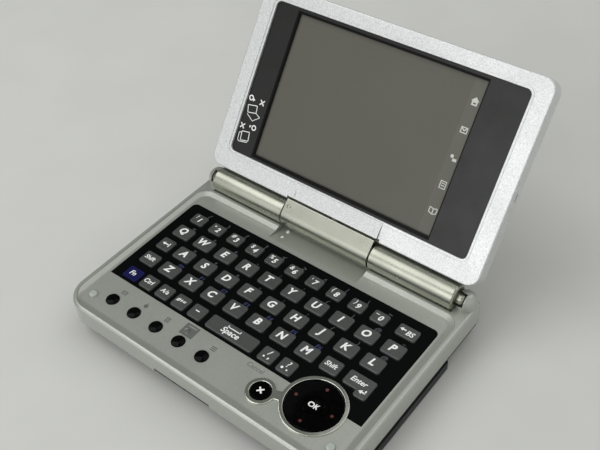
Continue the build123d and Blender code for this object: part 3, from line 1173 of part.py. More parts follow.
with BuildPart() as swivel_clip:
    with BuildSketch(shaft_plane(CLIP_FOOT)):
        Circle(CLIP_RADIUS)
        Circle(SHAFT_RADIUS + RUNNING_FIT, mode=Mode.SUBTRACT)
    extrude(amount=CLIP_THICKNESS)
save(swivel_clip, "swivel_clip")

# Front half of the lid: the bezel
LID_SCREW_PLACES = [(side * LID_SCREW_X, up) for side in (-1, 1) for up in LID_SCREW_UPS]
with BuildPart() as lid_front_cover:
    with BuildSketch(lid_plane(LID_MIDDLE)) as bezel_sketch:
        lid_outline(bezel_sketch, 0)
    extrude(amount=LID_FACE - LID_MIDDLE)
    fillet(lid_front_cover.faces().sort_by(Axis((0, 0, 0), LID_NORMAL))[-1].edges(), LID_EDGE_ROUND)
    with BuildSketch(lid_plane(LID_MIDDLE)) as bezel_hollow:
        lid_outline(bezel_hollow, LID_WALL)
        lid_notch(LID_WALL, mode=Mode.SUBTRACT)
    extrude(amount=LID_FACE - LID_WALL - LID_MIDDLE, mode=Mode.SUBTRACT)
    with BuildSketch(lid_plane(LID_MIDDLE)):
        opening_outline(0)
    extrude(amount=LID_THICKNESS, mode=Mode.SUBTRACT)
    bezel_face = lid_front_cover.faces().sort_by(Axis((0, 0, 0), LID_NORMAL))[-1]
    fillet(bezel_face.inner_wires()[0].edges(), OPENING_ROUND)
    with BuildSketch(lid_plane(LID_FACE)):
        opening_outline(GROOVE_STEP + GROOVE_WIDTH)
        opening_outline(GROOVE_STEP, mode=Mode.SUBTRACT)
    extrude(amount=-GROOVE_DEPTH, mode=Mode.SUBTRACT)
    with BuildSketch(lid_plane(LID_MIDDLE)):
        lid_notch(0)
    extrude(amount=LID_THICKNESS, mode=Mode.SUBTRACT)
    with BuildSketch(lid_plane(LID_MIDDLE)):
        with Locations(*LID_SCREW_PLACES):
            Circle(LID_BOSS_RADIUS)
            Circle(SCREW_RADIUS + SEAT_FIT, mode=Mode.SUBTRACT)
    extrude(amount=LID_FACE - LID_WALL - LID_MIDDLE)
    with BuildSketch(lid_plane(LID_FACE - TRIM_DEPTH)):
        with Locations((0, LID_BOTTOM)):
            Rectangle(2 * (TRIM_HALF_WIDTH + SEAM), 2 * (TRIM_TOP + SEAM - LID_BOTTOM))
    extrude(amount=LID_THICKNESS, mode=Mode.SUBTRACT)
    with BuildSketch(shaft_plane(0)):
        Circle(SHAFT_RADIUS + SHAFT_CLEARANCE)
    extrude(amount=BEARING_FOOT, mode=Mode.SUBTRACT)
    with BuildSketch(lid_plane(LID_MIDDLE)):
        with Locations((LID_WIDTH / 2, LID_SLOT_UP)):
            Rectangle(LID_WALL, LID_SLOT_LENGTH)
    extrude(amount=LID_SLOT_WIDTH, mode=Mode.SUBTRACT)
save(lid_front_cover, "lid_front_cover")

# Trim above the block, sloping up to the bezel, with a small raised pip
with BuildPart() as lid_hinge_trim:
    with BuildSketch(lid_side_plane(0)):
        with BuildLine():
            Polyline(
                (LID_BOTTOM, LID_FACE - TRIM_DEPTH),
                (TRIM_TOP, LID_FACE - TRIM_DEPTH),
                (TRIM_TOP, LID_FACE),
                (LID_BOTTOM, slope_out(LID_BOTTOM)),
                close=True,
            )
        make_face()
    extrude(amount=TRIM_HALF_WIDTH, both=True)
    with BuildSketch(slope_plane(TRIM_MARK_X, TRIM_MARK_UP)):
        SlotOverall(*TRIM_MARK_SIZE, rotation=90)
    extrude(amount=MARK_DEPTH)
save(lid_hinge_trim, "lid_hinge_trim")

# Back half of the lid
with BuildPart() as lid_back_cover:
    with BuildSketch(lid_plane(LID_BACK)) as back_sketch:
        lid_outline(back_sketch, 0)
    extrude(amount=LID_MIDDLE - LID_BACK)
    fillet(lid_back_cover.faces().sort_by(Axis((0, 0, 0), LID_NORMAL))[0].edges(), LID_BACK_ROUND)
    with BuildSketch(lid_plane(LID_BACK + LID_WALL)) as back_hollow:
        lid_outline(back_hollow, LID_WALL)
        lid_notch(LID_WALL, mode=Mode.SUBTRACT)
    extrude(amount=LID_THICKNESS, mode=Mode.SUBTRACT)
    with BuildSketch(lid_plane(LID_BACK)):
        lid_notch(0)
    extrude(amount=LID_THICKNESS, mode=Mode.SUBTRACT)
    with BuildSketch(lid_plane(LID_BACK + LID_WALL)):
        with Locations(*LID_SCREW_PLACES):
            Circle(LID_BOSS_RADIUS)
    extrude(amount=LID_MIDDLE - LID_BACK - LID_WALL)
    with BuildSketch(lid_plane(LID_BACK)):
        with Locations(*LID_SCREW_PLACES):
            Circle(SCREW_RADIUS + SEAT_FIT)
    extrude(amount=LID_THICKNESS, mode=Mode.SUBTRACT)
    with BuildSketch(lid_plane(LID_BACK)):
        with Locations(*LID_SCREW_PLACES):
            Circle(SCREW_HEAD_RADIUS + SEAM)
    extrude(amount=SCREW_HEAD_HEIGHT, mode=Mode.SUBTRACT)
    with BuildSketch(shaft_plane(0)):
        Circle(SHAFT_RADIUS + SHAFT_CLEARANCE)
    extrude(amount=BEARING_FOOT, mode=Mode.SUBTRACT)
save(lid_back_cover, "lid_back_cover")

# Screws of the lid, put in from the back
with BuildPart() as lid_screws:
    with BuildSketch(lid_plane(LID_BACK)):
        with Locations(*LID_SCREW_PLACES):
            Circle(SCREW_HEAD_RADIUS)
    extrude(amount=SCREW_HEAD_HEIGHT)
    with BuildSketch(lid_plane(LID_BACK + SCREW_HEAD_HEIGHT)):
        with Locations(*LID_SCREW_PLACES):
            Circle(SCREW_RADIUS)
    extrude(amount=LID_SCREW_LENGTH)
    with BuildSketch(lid_plane(LID_BACK)):
        with Locations(*LID_SCREW_PLACES):
            Rectangle(SCREW_HEAD_RADIUS, SCREW_HEAD_RADIUS / 4)
            Rectangle(SCREW_HEAD_RADIUS / 4, SCREW_HEAD_RADIUS)
    extrude(amount=SCREW_HEAD_HEIGHT / 2, mode=Mode.SUBTRACT)
save(lid_screws, "lid_screws")

# Screen frame, sunk into the bezel
with BuildPart() as screen_frame:
    with BuildSketch(lid_plane(FRAME_BACK)):
        with Locations((0, (FRAME_TOP + FRAME_BOTTOM) / 2)):
            RectangleRounded(
                2 * (FRAME_HALF_WIDTH - SEAM), FRAME_TOP - FRAME_BOTTOM - 2 * SEAM, FRAME_RADIUS - SEAM
            )
        with Locations(WINDOW_CENTRE):
            Rectangle(WINDOW_RIGHT - WINDOW_LEFT, WINDOW_TOP - WINDOW_BOTTOM, mode=Mode.SUBTRACT)
    extrude(amount=FRAME_THICKNESS)
save(screen_frame, "screen_frame")


def screen_layer(front, thickness, margin):
    """One flat layer behind the window, as wide as the window and a margin."""
    with BuildPart() as layer:
        with BuildSketch(lid_plane(front - thickness)):
            with Locations(WINDOW_CENTRE):
                Rectangle(WINDOW_RIGHT - WINDOW_LEFT + 2 * margin, WINDOW_TOP - WINDOW_BOTTOM + 2 * margin)
        extrude(amount=thickness)
    return layer


DISPLAY_FRONT = FRAME_BACK - GLASS_THICKNESS - SEAM
save(screen_layer(FRAME_BACK, GLASS_THICKNESS, GLASS_MARGIN), "touch_panel")
save(screen_layer(DISPLAY_FRONT, DISPLAY_THICKNESS, GLASS_MARGIN / 2), "display_panel")
save(screen_layer(DISPLAY_FRONT - DISPLAY_THICKNESS, BACKLIGHT_THICKNESS, GLASS_MARGIN), "backlight")
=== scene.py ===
# %% [markdown]
# A pocket organizer: a silver case with a small black keyboard, and a screen lid that hangs on two bright
# barrels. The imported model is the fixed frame. Its solids are the real pieces, so they all stay, and this
# script gives them their finishes, prints the marks on them and lights them.

# %% Load the fixed frame
import json
import math

import bmesh
import bpy
from mathutils import Matrix, Vector


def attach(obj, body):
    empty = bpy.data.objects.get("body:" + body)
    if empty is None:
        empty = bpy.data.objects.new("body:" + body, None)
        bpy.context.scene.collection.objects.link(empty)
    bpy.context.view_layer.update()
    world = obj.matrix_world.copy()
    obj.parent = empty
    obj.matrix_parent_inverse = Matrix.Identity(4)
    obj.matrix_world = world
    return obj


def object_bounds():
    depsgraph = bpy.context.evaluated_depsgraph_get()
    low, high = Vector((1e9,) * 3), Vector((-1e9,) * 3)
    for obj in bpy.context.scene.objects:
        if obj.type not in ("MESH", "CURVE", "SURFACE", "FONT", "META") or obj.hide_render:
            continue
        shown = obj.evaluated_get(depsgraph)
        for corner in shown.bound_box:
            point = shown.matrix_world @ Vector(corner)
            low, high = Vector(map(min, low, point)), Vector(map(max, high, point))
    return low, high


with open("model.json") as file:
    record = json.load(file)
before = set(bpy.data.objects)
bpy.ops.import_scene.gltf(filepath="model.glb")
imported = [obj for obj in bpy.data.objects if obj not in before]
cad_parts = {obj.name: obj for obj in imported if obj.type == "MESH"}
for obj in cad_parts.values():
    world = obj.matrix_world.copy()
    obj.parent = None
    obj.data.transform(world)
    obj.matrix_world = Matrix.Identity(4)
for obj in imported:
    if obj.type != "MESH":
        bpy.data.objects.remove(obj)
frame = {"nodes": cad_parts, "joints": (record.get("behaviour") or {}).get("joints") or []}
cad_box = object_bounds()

MM = 0.001
nodes = frame["nodes"]

# %% [markdown]
# Blender has its origin on the table under the case. The lid leans, so marks on it are easier to place in
# a frame of its own: across, up the lid, and out of its face. The tilt joint gives the origin and the
# swivel joint gives the way up, so nothing has to be measured twice.

# %% The lid's own frame
joints = {joint["name"]: joint for joint in frame["joints"]}
across = Vector((1, 0, 0))
lid_up = Vector(joints["lid_swivel"]["axis"]).normalized()
lid_out = across.cross(lid_up)
lid_place = Matrix((across, lid_up, lid_out)).transposed().to_4x4()
lid_place.translation = Vector(joints["lid_tilt"]["pos_m"])
print("lid leans back", round(math.degrees(math.atan2(lid_up.y, lid_up.z)), 1), "degrees")


# %% Measure a node, in millimetres
def span(node, place=None):
    """Lowest and highest corner of a node, in the base's frame or in the frame that place gives."""
    turn = (place or Matrix.Identity(4)).inverted()
    corners = [turn @ vertex.co / MM for vertex in nodes[node].data.vertices]
    low = Vector([min(corner[i] for corner in corners) for i in range(3)])
    high = Vector([max(corner[i] for corner in corners) for i in range(3)])
    return low, high


case_low, case_high = span("upper_case")
window_low, window_high = span("touch_panel", lid_place)
print("upper case, mm:", [round(value, 1) for value in case_high - case_low])
print("touch panel, mm:", [round(value, 1) for value in window_high - window_low])

# %% [markdown]
# Every finish here is one physically based shader. What makes it paint, moulded plastic or plating is how
# much its colour, its roughness and its relief wander, and at what scale. So one small maker does them
# all: a fine grain for flakes or moulded texture, and a slow drift for handling and uneven gloss. The
# patterns read Object coordinates, which are metres here, so a grain in millimetres stays true on every
# piece. Noise seldom leaves the middle of its range, so only that part is stretched over the colours and
# the gloss.

# %% One maker for all finishes
NOISE_RANGE = (0.35, 0.65)
DRIFT_RANGE = (0.3, 0.7)
DRIFT_DETAIL = 4.0


def grain(tree, size_mm, cells=False, detail=2.0):
    """A noise or cell pattern whose features are size_mm wide."""
    coords = tree.nodes.new("ShaderNodeTexCoord")
    if cells:
        pattern = tree.nodes.new("ShaderNodeTexVoronoi")
        apart = tree.nodes.new("ShaderNodeSeparateColor")
        tree.links.new(pattern.outputs["Color"], apart.inputs["Color"])
        result = apart.outputs["Red"]
    else:
        pattern = tree.nodes.new("ShaderNodeTexNoise")
        pattern.inputs["Detail"].default_value = detail
        result = pattern.outputs["Fac"]
    pattern.inputs["Scale"].default_value = 1 / (size_mm * MM)
    tree.links.new(coords.outputs["Object"], pattern.inputs["Vector"])
    return result


def spread(tree, source, low, high, out_low, out_high):
    """Stretch the part of a pattern between low and high to out_low ... out_high."""
    stretch = tree.nodes.new("ShaderNodeMapRange")
    stretch.inputs["From Min"].default_value = low
    stretch.inputs["From Max"].default_value = high
    stretch.inputs["To Min"].default_value = out_low
    stretch.inputs["To Max"].default_value = out_high
    tree.links.new(source, stretch.inputs["Value"])
    return stretch.outputs["Result"]


def finish(name, dark, light, grain_mm=0.3, cells=False, rough=(0.3, 0.4), drift_mm=12.0,
           relief_mm=0.0, relief_grain_mm=0.3, metal=0.0, **sockets):
    """A material whose colour runs from dark to light over its grain, and whose gloss drifts."""
    material = bpy.data.materials.new(name)
    material.use_nodes = True
    tree = material.node_tree
    shader = tree.nodes["Principled BSDF"]
    ramp = tree.nodes.new("ShaderNodeValToRGB")
    ends = (0.0, 1.0) if cells else NOISE_RANGE
    for stop, position, colour in zip(ramp.color_ramp.elements, ends, (dark, light)):
        stop.position = position
        stop.color = (*colour, 1)
    tree.links.new(grain(tree, grain_mm, cells), ramp.inputs["Fac"])
    tree.links.new(ramp.outputs["Color"], shader.inputs["Base Color"])
    gloss = spread(tree, grain(tree, drift_mm, detail=DRIFT_DETAIL), *DRIFT_RANGE, *rough)
    tree.links.new(gloss, shader.inputs["Roughness"])
    if relief_mm:
        bump = tree.nodes.new("ShaderNodeBump")
        bump.inputs["Distance"].default_value = relief_mm * MM
        tree.links.new(grain(tree, relief_grain_mm), bump.inputs["Height"])
        tree.links.new(bump.outputs["Normal"], shader.inputs["Normal"])
    shader.inputs["Metallic"].default_value = metal
    for socket, value in sockets.items():
        shader.inputs[socket.replace("_", " ")].default_value = value
    return material


def tone(red, green, blue):
    """A colour as an eye reads it (0 to 255), in the linear numbers that shaders want."""
    parts = [value / 255 for value in (red, green, blue)]
    return tuple(part / 12.92 if part <= 0.04045 else ((part + 0.055) / 1.055) ** 2.4 for part in parts)


# %% [markdown]
# The case is sprayed with a satin silver: fine flakes in a clear binder, slightly warm and greenish under
# room light. The lid has a whiter, coarser silver that glitters. Cells of random brightness stand for the
# flakes, a little metal in the shader makes them answer the light, and a shallow relief is the orange
# peel.

# %% Silver paints
finishes = {}
finishes["silver_case"] = finish(
    "silver_case_paint", tone(160, 164, 155), tone(174, 178, 169), grain_mm=0.16, cells=True,
    rough=(0.28, 0.36), relief_mm=0.008, relief_grain_mm=0.9, metal=0.45,
    Coat_Weight=1.0, Coat_Roughness=0.18)
finishes["silver_lid"] = finish(
    "silver_lid_paint", tone(190, 192, 192), tone(224, 226, 226), grain_mm=0.26, cells=True,
    rough=(0.30, 0.38), relief_mm=0.008, relief_grain_mm=0.7, metal=0.4,
    Coat_Weight=0.7, Coat_Roughness=0.12)
print("paints:", sorted(finishes))

# %% [markdown]
# The plated parts are the barrels and their block, in a warm nickel, and the cooler chrome of the ring
# round the pad. Plating is a mirror, so its look comes from what it reflects. What a maker adds is a hair
# of haze that comes and goes, where fingers wiped it. The pins, the shaft and the screws are plain ground
# steel.

# %% Plated metals
finishes["hinge_chrome"] = finish(
    "warm_nickel", tone(158, 160, 148), tone(166, 168, 156), grain_mm=9.0,
    rough=(0.25, 0.32), drift_mm=7.0, metal=1.0)
finishes["chrome"] = finish(
    "chrome_ring", tone(208, 211, 200), tone(218, 221, 210), grain_mm=6.0,
    rough=(0.07, 0.13), drift_mm=4.0, metal=1.0)
finishes["steel"] = finish(
    "ground_steel", tone(168, 168, 168), tone(196, 196, 196), grain_mm=0.25,
    rough=(0.26, 0.42), drift_mm=2.0, relief_mm=0.004, relief_grain_mm=0.12, metal=1.0)
print("plated:", len(finishes))

# %% [markdown]
# The dark plastics differ by gloss alone: a moulded matt shell, the satin keyboard panel, satin keys that
# are charcoal and not black, and glossy buttons. A real black still gives back a few percent of the
# light, and the specular level keeps that share low where the photo is nearly black.

# %% Dark plastics
finishes["black_case"] = finish(
    "black_shell", tone(20, 20, 21), tone(27, 27, 28), grain_mm=0.5, rough=(0.46, 0.58),
    relief_mm=0.02, relief_grain_mm=0.25, Specular_IOR_Level=0.35)
finishes["black_cover"] = finish(
    "battery_cover_shell", tone(30, 30, 31), tone(37, 37, 38), grain_mm=0.5, rough=(0.46, 0.6),
    relief_mm=0.02, relief_grain_mm=0.25, Specular_IOR_Level=0.35)
finishes["panel"] = finish(
    "keyboard_panel_satin", tone(3, 5, 5), tone(6, 8, 8), grain_mm=0.4, rough=(0.34, 0.44),
    relief_mm=0.004, relief_grain_mm=0.2, Specular_IOR_Level=0.05)
finishes["key"] = finish(
    "key_charcoal", tone(64, 67, 65), tone(74, 77, 75), grain_mm=0.5, rough=(0.26, 0.36),
    relief_mm=0.006, relief_grain_mm=0.25, Specular_IOR_Level=0.5)
finishes["fn_key"] = finish(
    "fn_key_blue", tone(9, 11, 64), tone(13, 15, 76), grain_mm=0.5, rough=(0.36, 0.46),
    relief_mm=0.006, relief_grain_mm=0.25, Specular_IOR_Level=0.2)
finishes["pad"] = finish(
    "pad_gloss", tone(2, 3, 2), tone(5, 6, 5), grain_mm=1.5, rough=(0.08, 0.14),
    drift_mm=4.0, Specular_IOR_Level=0.03)
finishes["button"] = finish(
    "button_gloss", tone(3, 4, 3), tone(6, 7, 6), grain_mm=1.0, rough=(0.05, 0.1),
    drift_mm=3.0, Specular_IOR_Level=0.06)
finishes["stylus"] = finish(
    "stylus_satin", tone(62, 63, 65), tone(72, 73, 75), grain_mm=0.6, rough=(0.3, 0.42),
    relief_mm=0.006, relief_grain_mm=0.3)
finishes["rubber"] = finish(
    "black_rubber", tone(30, 30, 30), tone(40, 40, 40), grain_mm=0.3, rough=(0.7, 0.85),
    relief_mm=0.03, relief_grain_mm=0.2, Specular_IOR_Level=0.3)
print("finishes so far:", len(finishes))

# %% [markdown]
# The screen is off, so it shows the grey of a resting display under a matt touch film, with the dark
# glossy printed frame round it. The film scatters the room softly, which is why it looks lighter than the
# frame.

# %% Screen, lamps and bumpers
finishes["screen"] = finish(
    "touch_film", tone(84, 83, 74), tone(89, 88, 79), grain_mm=0.25, rough=(0.36, 0.46),
    drift_mm=25.0, relief_mm=0.003, relief_grain_mm=0.12, Specular_IOR_Level=0.4)
finishes["screen_frame"] = finish(
    "frame_print", tone(14, 15, 13), tone(18, 19, 17), grain_mm=0.6, rough=(0.2, 0.3),
    drift_mm=9.0, Specular_IOR_Level=0.3)
finishes["display"] = finish(
    "resting_display", tone(70, 71, 66), tone(78, 79, 73), grain_mm=0.3, rough=(0.2, 0.3))
finishes["backlight"] = finish(
    "white_diffuser", tone(228, 229, 226), tone(238, 239, 236), grain_mm=0.8, rough=(0.5, 0.6))
finishes["lens"] = finish(
    "lamp_lens", tone(236, 238, 234), tone(250, 252, 248), grain_mm=0.6, rough=(0.08, 0.14),
    Transmission_Weight=0.2)
finishes["bumper"] = finish(
    "clear_bumper", tone(176, 184, 174), tone(190, 198, 188), grain_mm=0.5, rough=(0.1, 0.16),
    Transmission_Weight=0.15)
print("finishes so far:", len(finishes))

# %% [markdown]
# Inside the case are the board, the rubber key mat and the wrapped battery. They show only when a cover
# is off, but they are real pieces and get real finishes: green solder mask with brighter copper under it,
# milky silicone, and shrink film.

# %% Inner pieces
finishes["board"] = finish(
    "solder_mask", tone(22, 78, 44), tone(40, 108, 62), grain_mm=1.6, cells=True, rough=(0.3, 0.4),
    relief_mm=0.01, relief_grain_mm=0.8)
finishes["mat"] = finish(
    "milky_silicone", tone(150, 150, 146), tone(164, 164, 160), grain_mm=1.2, rough=(0.55, 0.7),
    relief_mm=0.02, relief_grain_mm=0.4)
finishes["battery"] = finish(
    "battery_film", tone(58, 60, 64), tone(70, 72, 76), grain_mm=3.0, rough=(0.24, 0.36),
    relief_mm=0.03, relief_grain_mm=2.5)
print("finishes in all:", len(finishes))

# %% [markdown]
# Each solid comes with the name of its material in a slot. The finish of the same name goes into that
# slot, and a name that has none is printed, so that nothing is forgotten.

# %% Give every node its finish
unfinished = set()
for node in nodes.values():
    for place in node.material_slots:
        base_name = place.material.name.split(".")[0]
        if base_name in finishes:
            place.material = finishes[base_name]
        else:
            unfinished.add(base_name)
print("slots without a finish:", sorted(unfinished))

# %% [markdown]
# Marks are printed in ink two hundredths of a millimetre thick. Here each is a piece of text or a flat
# shape, made a mesh, centred and set down on the surface that carries it. Print wears, so the inks have a
# grain too. All marks of one row ride on that row's body, so they travel with the keys.

# %% Inks
INK = 0.02
INK_RISE = 0.3
inks = {}


def mix_ink(colour, slot, name, dark, light, grain_mm=0.25, rough=(0.5, 0.6), **sockets):
    """Mix an ink. The slot argument is not used."""
    inks[colour] = finish(name, tone(*dark), tone(*light), grain_mm=grain_mm, rough=rough, **sockets)


mix_ink("white", "backlight", "ink_white", (236, 238, 236), (250, 252, 250))
mix_ink("blue", "fn_key", "ink_blue", (34, 44, 86), (44, 56, 100))
mix_ink("dim", "key", "ink_dim_grey", (66, 72, 76), (80, 86, 90))
mix_ink("grey", "stylus", "ink_deck_grey", (86, 89, 85), (98, 101, 97))
mix_ink("soft", "backlight", "ink_soft_white", (196, 198, 190), (214, 216, 208))
mix_ink("faint", "stylus", "ink_faint", (108, 112, 106), (118, 122, 116))
mix_ink("pale", "silver_case", "ink_deck_pale", (150, 154, 148), (164, 168, 162))
# The black ink is painted shadow, used only for the shaded step round the screen window.
mix_ink("black", "panel", "ink_painted_shadow", (4, 4, 4), (7, 7, 7), grain_mm=0.6, rough=(0.3, 0.4),
        Specular_IOR_Level=0.1)
mix_ink("strip", "screen", "ink_strip", (90, 90, 81), (95, 95, 86), rough=(0.36, 0.46),
        Specular_IOR_Level=0.4)
mix_ink("red", "button", "ink_red", (72, 18, 20), (90, 25, 26), rough=(0.4, 0.5))
print("inks:", sorted(inks))

# %% [markdown]
# Blender's own plain font gives the letters. Its capitals are 0.69 of its size, so the size follows from
# the height that the letter is to have. A slanted outline folds in tight corners when it is thickened,
# and shoots out a spike, so the text is made upright and slanted afterwards.

# %% Text as a mesh
CAPITAL = 0.69
CURVE_STEPS = 3
SEAM = 1e-7  # metres


def glyphs(text, tall, bold):
    """The upright mesh of a short text, tall mm high for a capital and INK mm thick."""
    data = bpy.data.curves.new("proof", "FONT")
    data.body = text
    data.size = tall * MM / CAPITAL
    data.offset = bold * tall * MM
    data.extrude = INK * MM / 2
    data.resolution_u = CURVE_STEPS
    data.fill_mode = "BOTH"
    proof = bpy.data.objects.new("proof", data)
    bpy.context.scene.collection.objects.link(proof)
    mesh = bpy.data.meshes.new_from_object(proof.evaluated_get(bpy.context.evaluated_depsgraph_get()))
    bpy.data.objects.remove(proof)
    bpy.data.curves.remove(data)
    return mesh


def centred(shape):
    """Move a bmesh so that the middle of its box is at the origin."""
    corners = [vertex.co for vertex in shape.verts]
    centre = Vector([(min(c[i] for c in corners) + max(c[i] for c in corners)) / 2 for i in range(3)])
    bmesh.ops.translate(shape, verts=shape.verts, vec=-centre)
    return shape


def lettering(text, tall, slant=0.0, bold=0.03):
    """A short text as a bmesh with its seams closed: bold thickens it, and slant leans it to the right."""
    upright = glyphs(text, tall, bold)
    shape = bmesh.new()
    shape.from_mesh(upright)
    bpy.data.meshes.remove(upright)
    bmesh.ops.remove_doubles(shape, verts=shape.verts, dist=SEAM)
    for vertex in shape.verts:
        vertex.co.x += slant * vertex.co.y
    return centred(shape)


print("capitals are", CAPITAL, "of the font's size")

# %% [markdown]
# All other marks are built from one flat plate: an outline that is as thick as the ink. It is put
# together face by face, so its faces have the same order in each run. Bars, dots, open boxes, round
# lines, strokes and crosses are that plate again.

# %% Flat shapes as a mesh
ROUND_SIDES = 20


def plate(points):
    """A flat mark, INK mm thick, whose outline runs counter-clockwise through points (mm)."""
    shape = bmesh.new()
    under, over = [[shape.verts.new((x * MM, y * MM, z * MM)) for x, y in points]
                   for z in (-INK / 2, INK / 2)]
    shape.faces.new(under[::-1])
    shape.faces.new(over)
    for i in range(len(points)):
        shape.faces.new((under[i - 1], under[i], over[i], over[i - 1]))
    return shape


def round_corners():
    """Corners of a many-sided figure of radius 1, with the first one again at the end."""
    turns = [2 * math.pi * i / ROUND_SIDES for i in range(ROUND_SIDES + 1)]
    return [(math.cos(turn), math.sin(turn)) for turn in turns]


def disc(radius, x=0.0, y=0.0):
    """A round dot round (x, y)."""
    return plate([(x + radius * c, y + radius * s) for c, s in round_corners()[:-1]])


def bar(width, depth, x=0.0, y=0.0):
    """A small rectangle round (x, y)."""
    return plate([(x - width / 2, y - depth / 2), (x + width / 2, y - depth / 2),
                  (x + width / 2, y + depth / 2), (x - width / 2, y + depth / 2)])


def frame_box(width, depth, line, x=0.0, y=0.0):
    """Four bars as an open box."""
    return [bar(width, line, x, y + (depth - line) / 2), bar(width, line, x, y - (depth - line) / 2),
            bar(line, depth - 2 * line, x - (width - line) / 2, y),
            bar(line, depth - 2 * line, x + (width - line) / 2, y)]


def ring(outer, line, x, y):
    """A round line, as a row of short plates."""
    inner = outer - line
    corners = round_corners()
    return [plate([(x + c * inner, y + s * inner), (x + c * outer, y + s * outer),
                   (x + c2 * outer, y + s2 * outer), (x + c2 * inner, y + s2 * inner)])
            for (c, s), (c2, s2) in zip(corners, corners[1:])]


def stroke(points, line):
    """A thin line through points, as a row of plates."""
    plates = []
    for (x, y), (x2, y2) in zip(points, points[1:]):
        along = Vector((x2 - x, y2 - y)).normalized() * line / 2
        plates.append(plate([(x - along.y, y + along.x), (x + along.y, y - along.x),
                             (x2 + along.y, y2 - along.x), (x2 - along.y, y2 + along.x)]))
    return plates


def cross(reach, line, x, y):
    """Two strokes that cross."""
    return (stroke([(x - reach, y - reach), (x + reach, y + reach)], line)
            + stroke([(x - reach, y + reach), (x + reach, y - reach)], line))


print("corners of a round mark:", ROUND_SIDES)

# %% [markdown]
# A mark dips a little into the surface, so that no gap shows under it. On a domed button or on the deck a
# ray from above finds the surface under every point of the mark. Marks of one ink on one body become one
# piece, and that piece rides on the body.

# %% Print marks on a piece
RAY_START = 0.2  # metres, above everything on the base


def surface(node, x, y):
    """Height (mm) of a base node's top at x, y."""
    hit, point, _, _ = nodes[node].ray_cast(Vector((x * MM, y * MM, RAY_START)), Vector((0, 0, -1)))
    return point.z / MM if hit else None


def printed(name, body, ink, marks, on=None, place=None):
    """Join marks, a list of (bmesh, x, y, z), into one piece that rides on body.
    With on, each point drops onto that node's top, and otherwise z is the surface in the frame of place."""
    sheet = bmesh.new()
    for shape, x, y, z in marks:
        bmesh.ops.translate(shape, verts=shape.verts, vec=(x * MM, y * MM, (z + INK * INK_RISE) * MM))
        if on:
            for vertex in shape.verts:
                height = surface(on, vertex.co.x / MM, vertex.co.y / MM)
                if height is not None:
                    vertex.co.z += (height - z) * MM
        loose = bpy.data.meshes.new("mark")
        shape.to_mesh(loose)
        shape.free()
        sheet.from_mesh(loose)
        bpy.data.meshes.remove(loose)
    if place:
        bmesh.ops.transform(sheet, matrix=place, verts=sheet.verts)
    mesh = bpy.data.meshes.new(name)
    sheet.to_mesh(mesh)
    sheet.free()
    mesh.materials.append(inks[ink])
    piece = bpy.data.objects.new(name, mesh)
    bpy.context.scene.collection.objects.link(piece)
    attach(piece, body)
    print(name, "rides on", body)


# %% [markdown]
# The keys are ten digits and three rows of letters, plus a few keys with plain arrows and short words
# that every keyboard has. A row is one node, so the places of its keys are worked out from the row's box:
# the flange under each cap reaches half a millimetre beyond it, and the caps are evenly spaced.

# %% Where the caps of a row are
KEY_LIP = 0.5
SLANT = 0.22
LETTER_CAP = 7.65
NUMBER_CAP = 6.1
BOLD, HALF_BOLD, THIN = 0.055, 0.05, 0.02


def cap_centres(node, count, cap_width):
    """Middles (x, y) of the caps in a row, and the height of their tops."""
    low, high = span(node)
    first = low.x + KEY_LIP + cap_width / 2
    last = high.x - KEY_LIP - cap_width / 2
    pitch = (last - first) / (count - 1)
    return [(first + pitch * i, (low.y + high.y) / 2) for i in range(count)], high.z


# %% Letters on the letter keys
LETTER_TALL = 2.7
LETTER_SHIFT = (-0.35, 0.2)
rows = {
    "top_letter_keys": "QWERTYUIOP",
    "home_letter_keys": "ASDFGHJKL",
    "bottom_letter_keys": "ZXCVBNM",
}
for node, letters in rows.items():
    places, top = cap_centres(node, len(letters), LETTER_CAP)
    marks = [(lettering(letter, LETTER_TALL, SLANT, BOLD), x + LETTER_SHIFT[0], y + LETTER_SHIFT[1], top)
             for letter, (x, y) in zip(letters, places)]
    printed(node + "_print", node, "white", marks)
    print(node, "from x", round(places[0][0], 1), "to", round(places[-1][0], 1))

# %% Digits and their small signs
DIGIT_TALL, DIGIT_SHIFT = 2.1, (0.55, -0.25)
SIGN_TALL, SIGN_SHIFT = 1.7, (-1.35, 0.85)
digits = "1234567890"
signs = "!\"#$%&'()~"
number_places, number_top = cap_centres("number_keys", len(digits), NUMBER_CAP)
marks = []
for digit, sign, (x, y) in zip(digits, signs, number_places):
    marks.append((lettering(digit, DIGIT_TALL, SLANT, HALF_BOLD),
                  x + DIGIT_SHIFT[0], y + DIGIT_SHIFT[1], number_top))
    marks.append((lettering(sign, SIGN_TALL, SLANT, THIN),
                  x + SIGN_SHIFT[0], y + SIGN_SHIFT[1], number_top))
printed("number_keys_print", "number_keys", "white", marks)
print("digits:", len(digits))

# %% [markdown]
# Arrows are drawn as a bar with a triangle, small enough that straight edges are right. The comma and
# period keys have a few small signs each.

# %% Plain arrows, and marks round the middle of a key
ARROW_LINE = 0.5
ARROW_FLARE = 0.62


def arrow_left(length, head=1.2):
    """An arrow that points left."""
    return [bar(length - head, ARROW_LINE, head / 2, 0),
            plate([(-length / 2, 0), (-length / 2 + head, -head * ARROW_FLARE),
                   (-length / 2 + head, head * ARROW_FLARE)])]


def middle(node):
    """Middle (x, y) of a key and the height of its top."""
    low, high = span(node)
    return (low.x + high.x) / 2, (low.y + high.y) / 2, high.z


def key_print(node, shapes):
    """Print shapes, a list of (bmesh, dx, dy) from the middle of a key."""
    x, y, top = middle(node)
    printed(node + "_print", node, "white", [(shape, x + dx, y + dy, top) for shape, dx, dy in shapes])


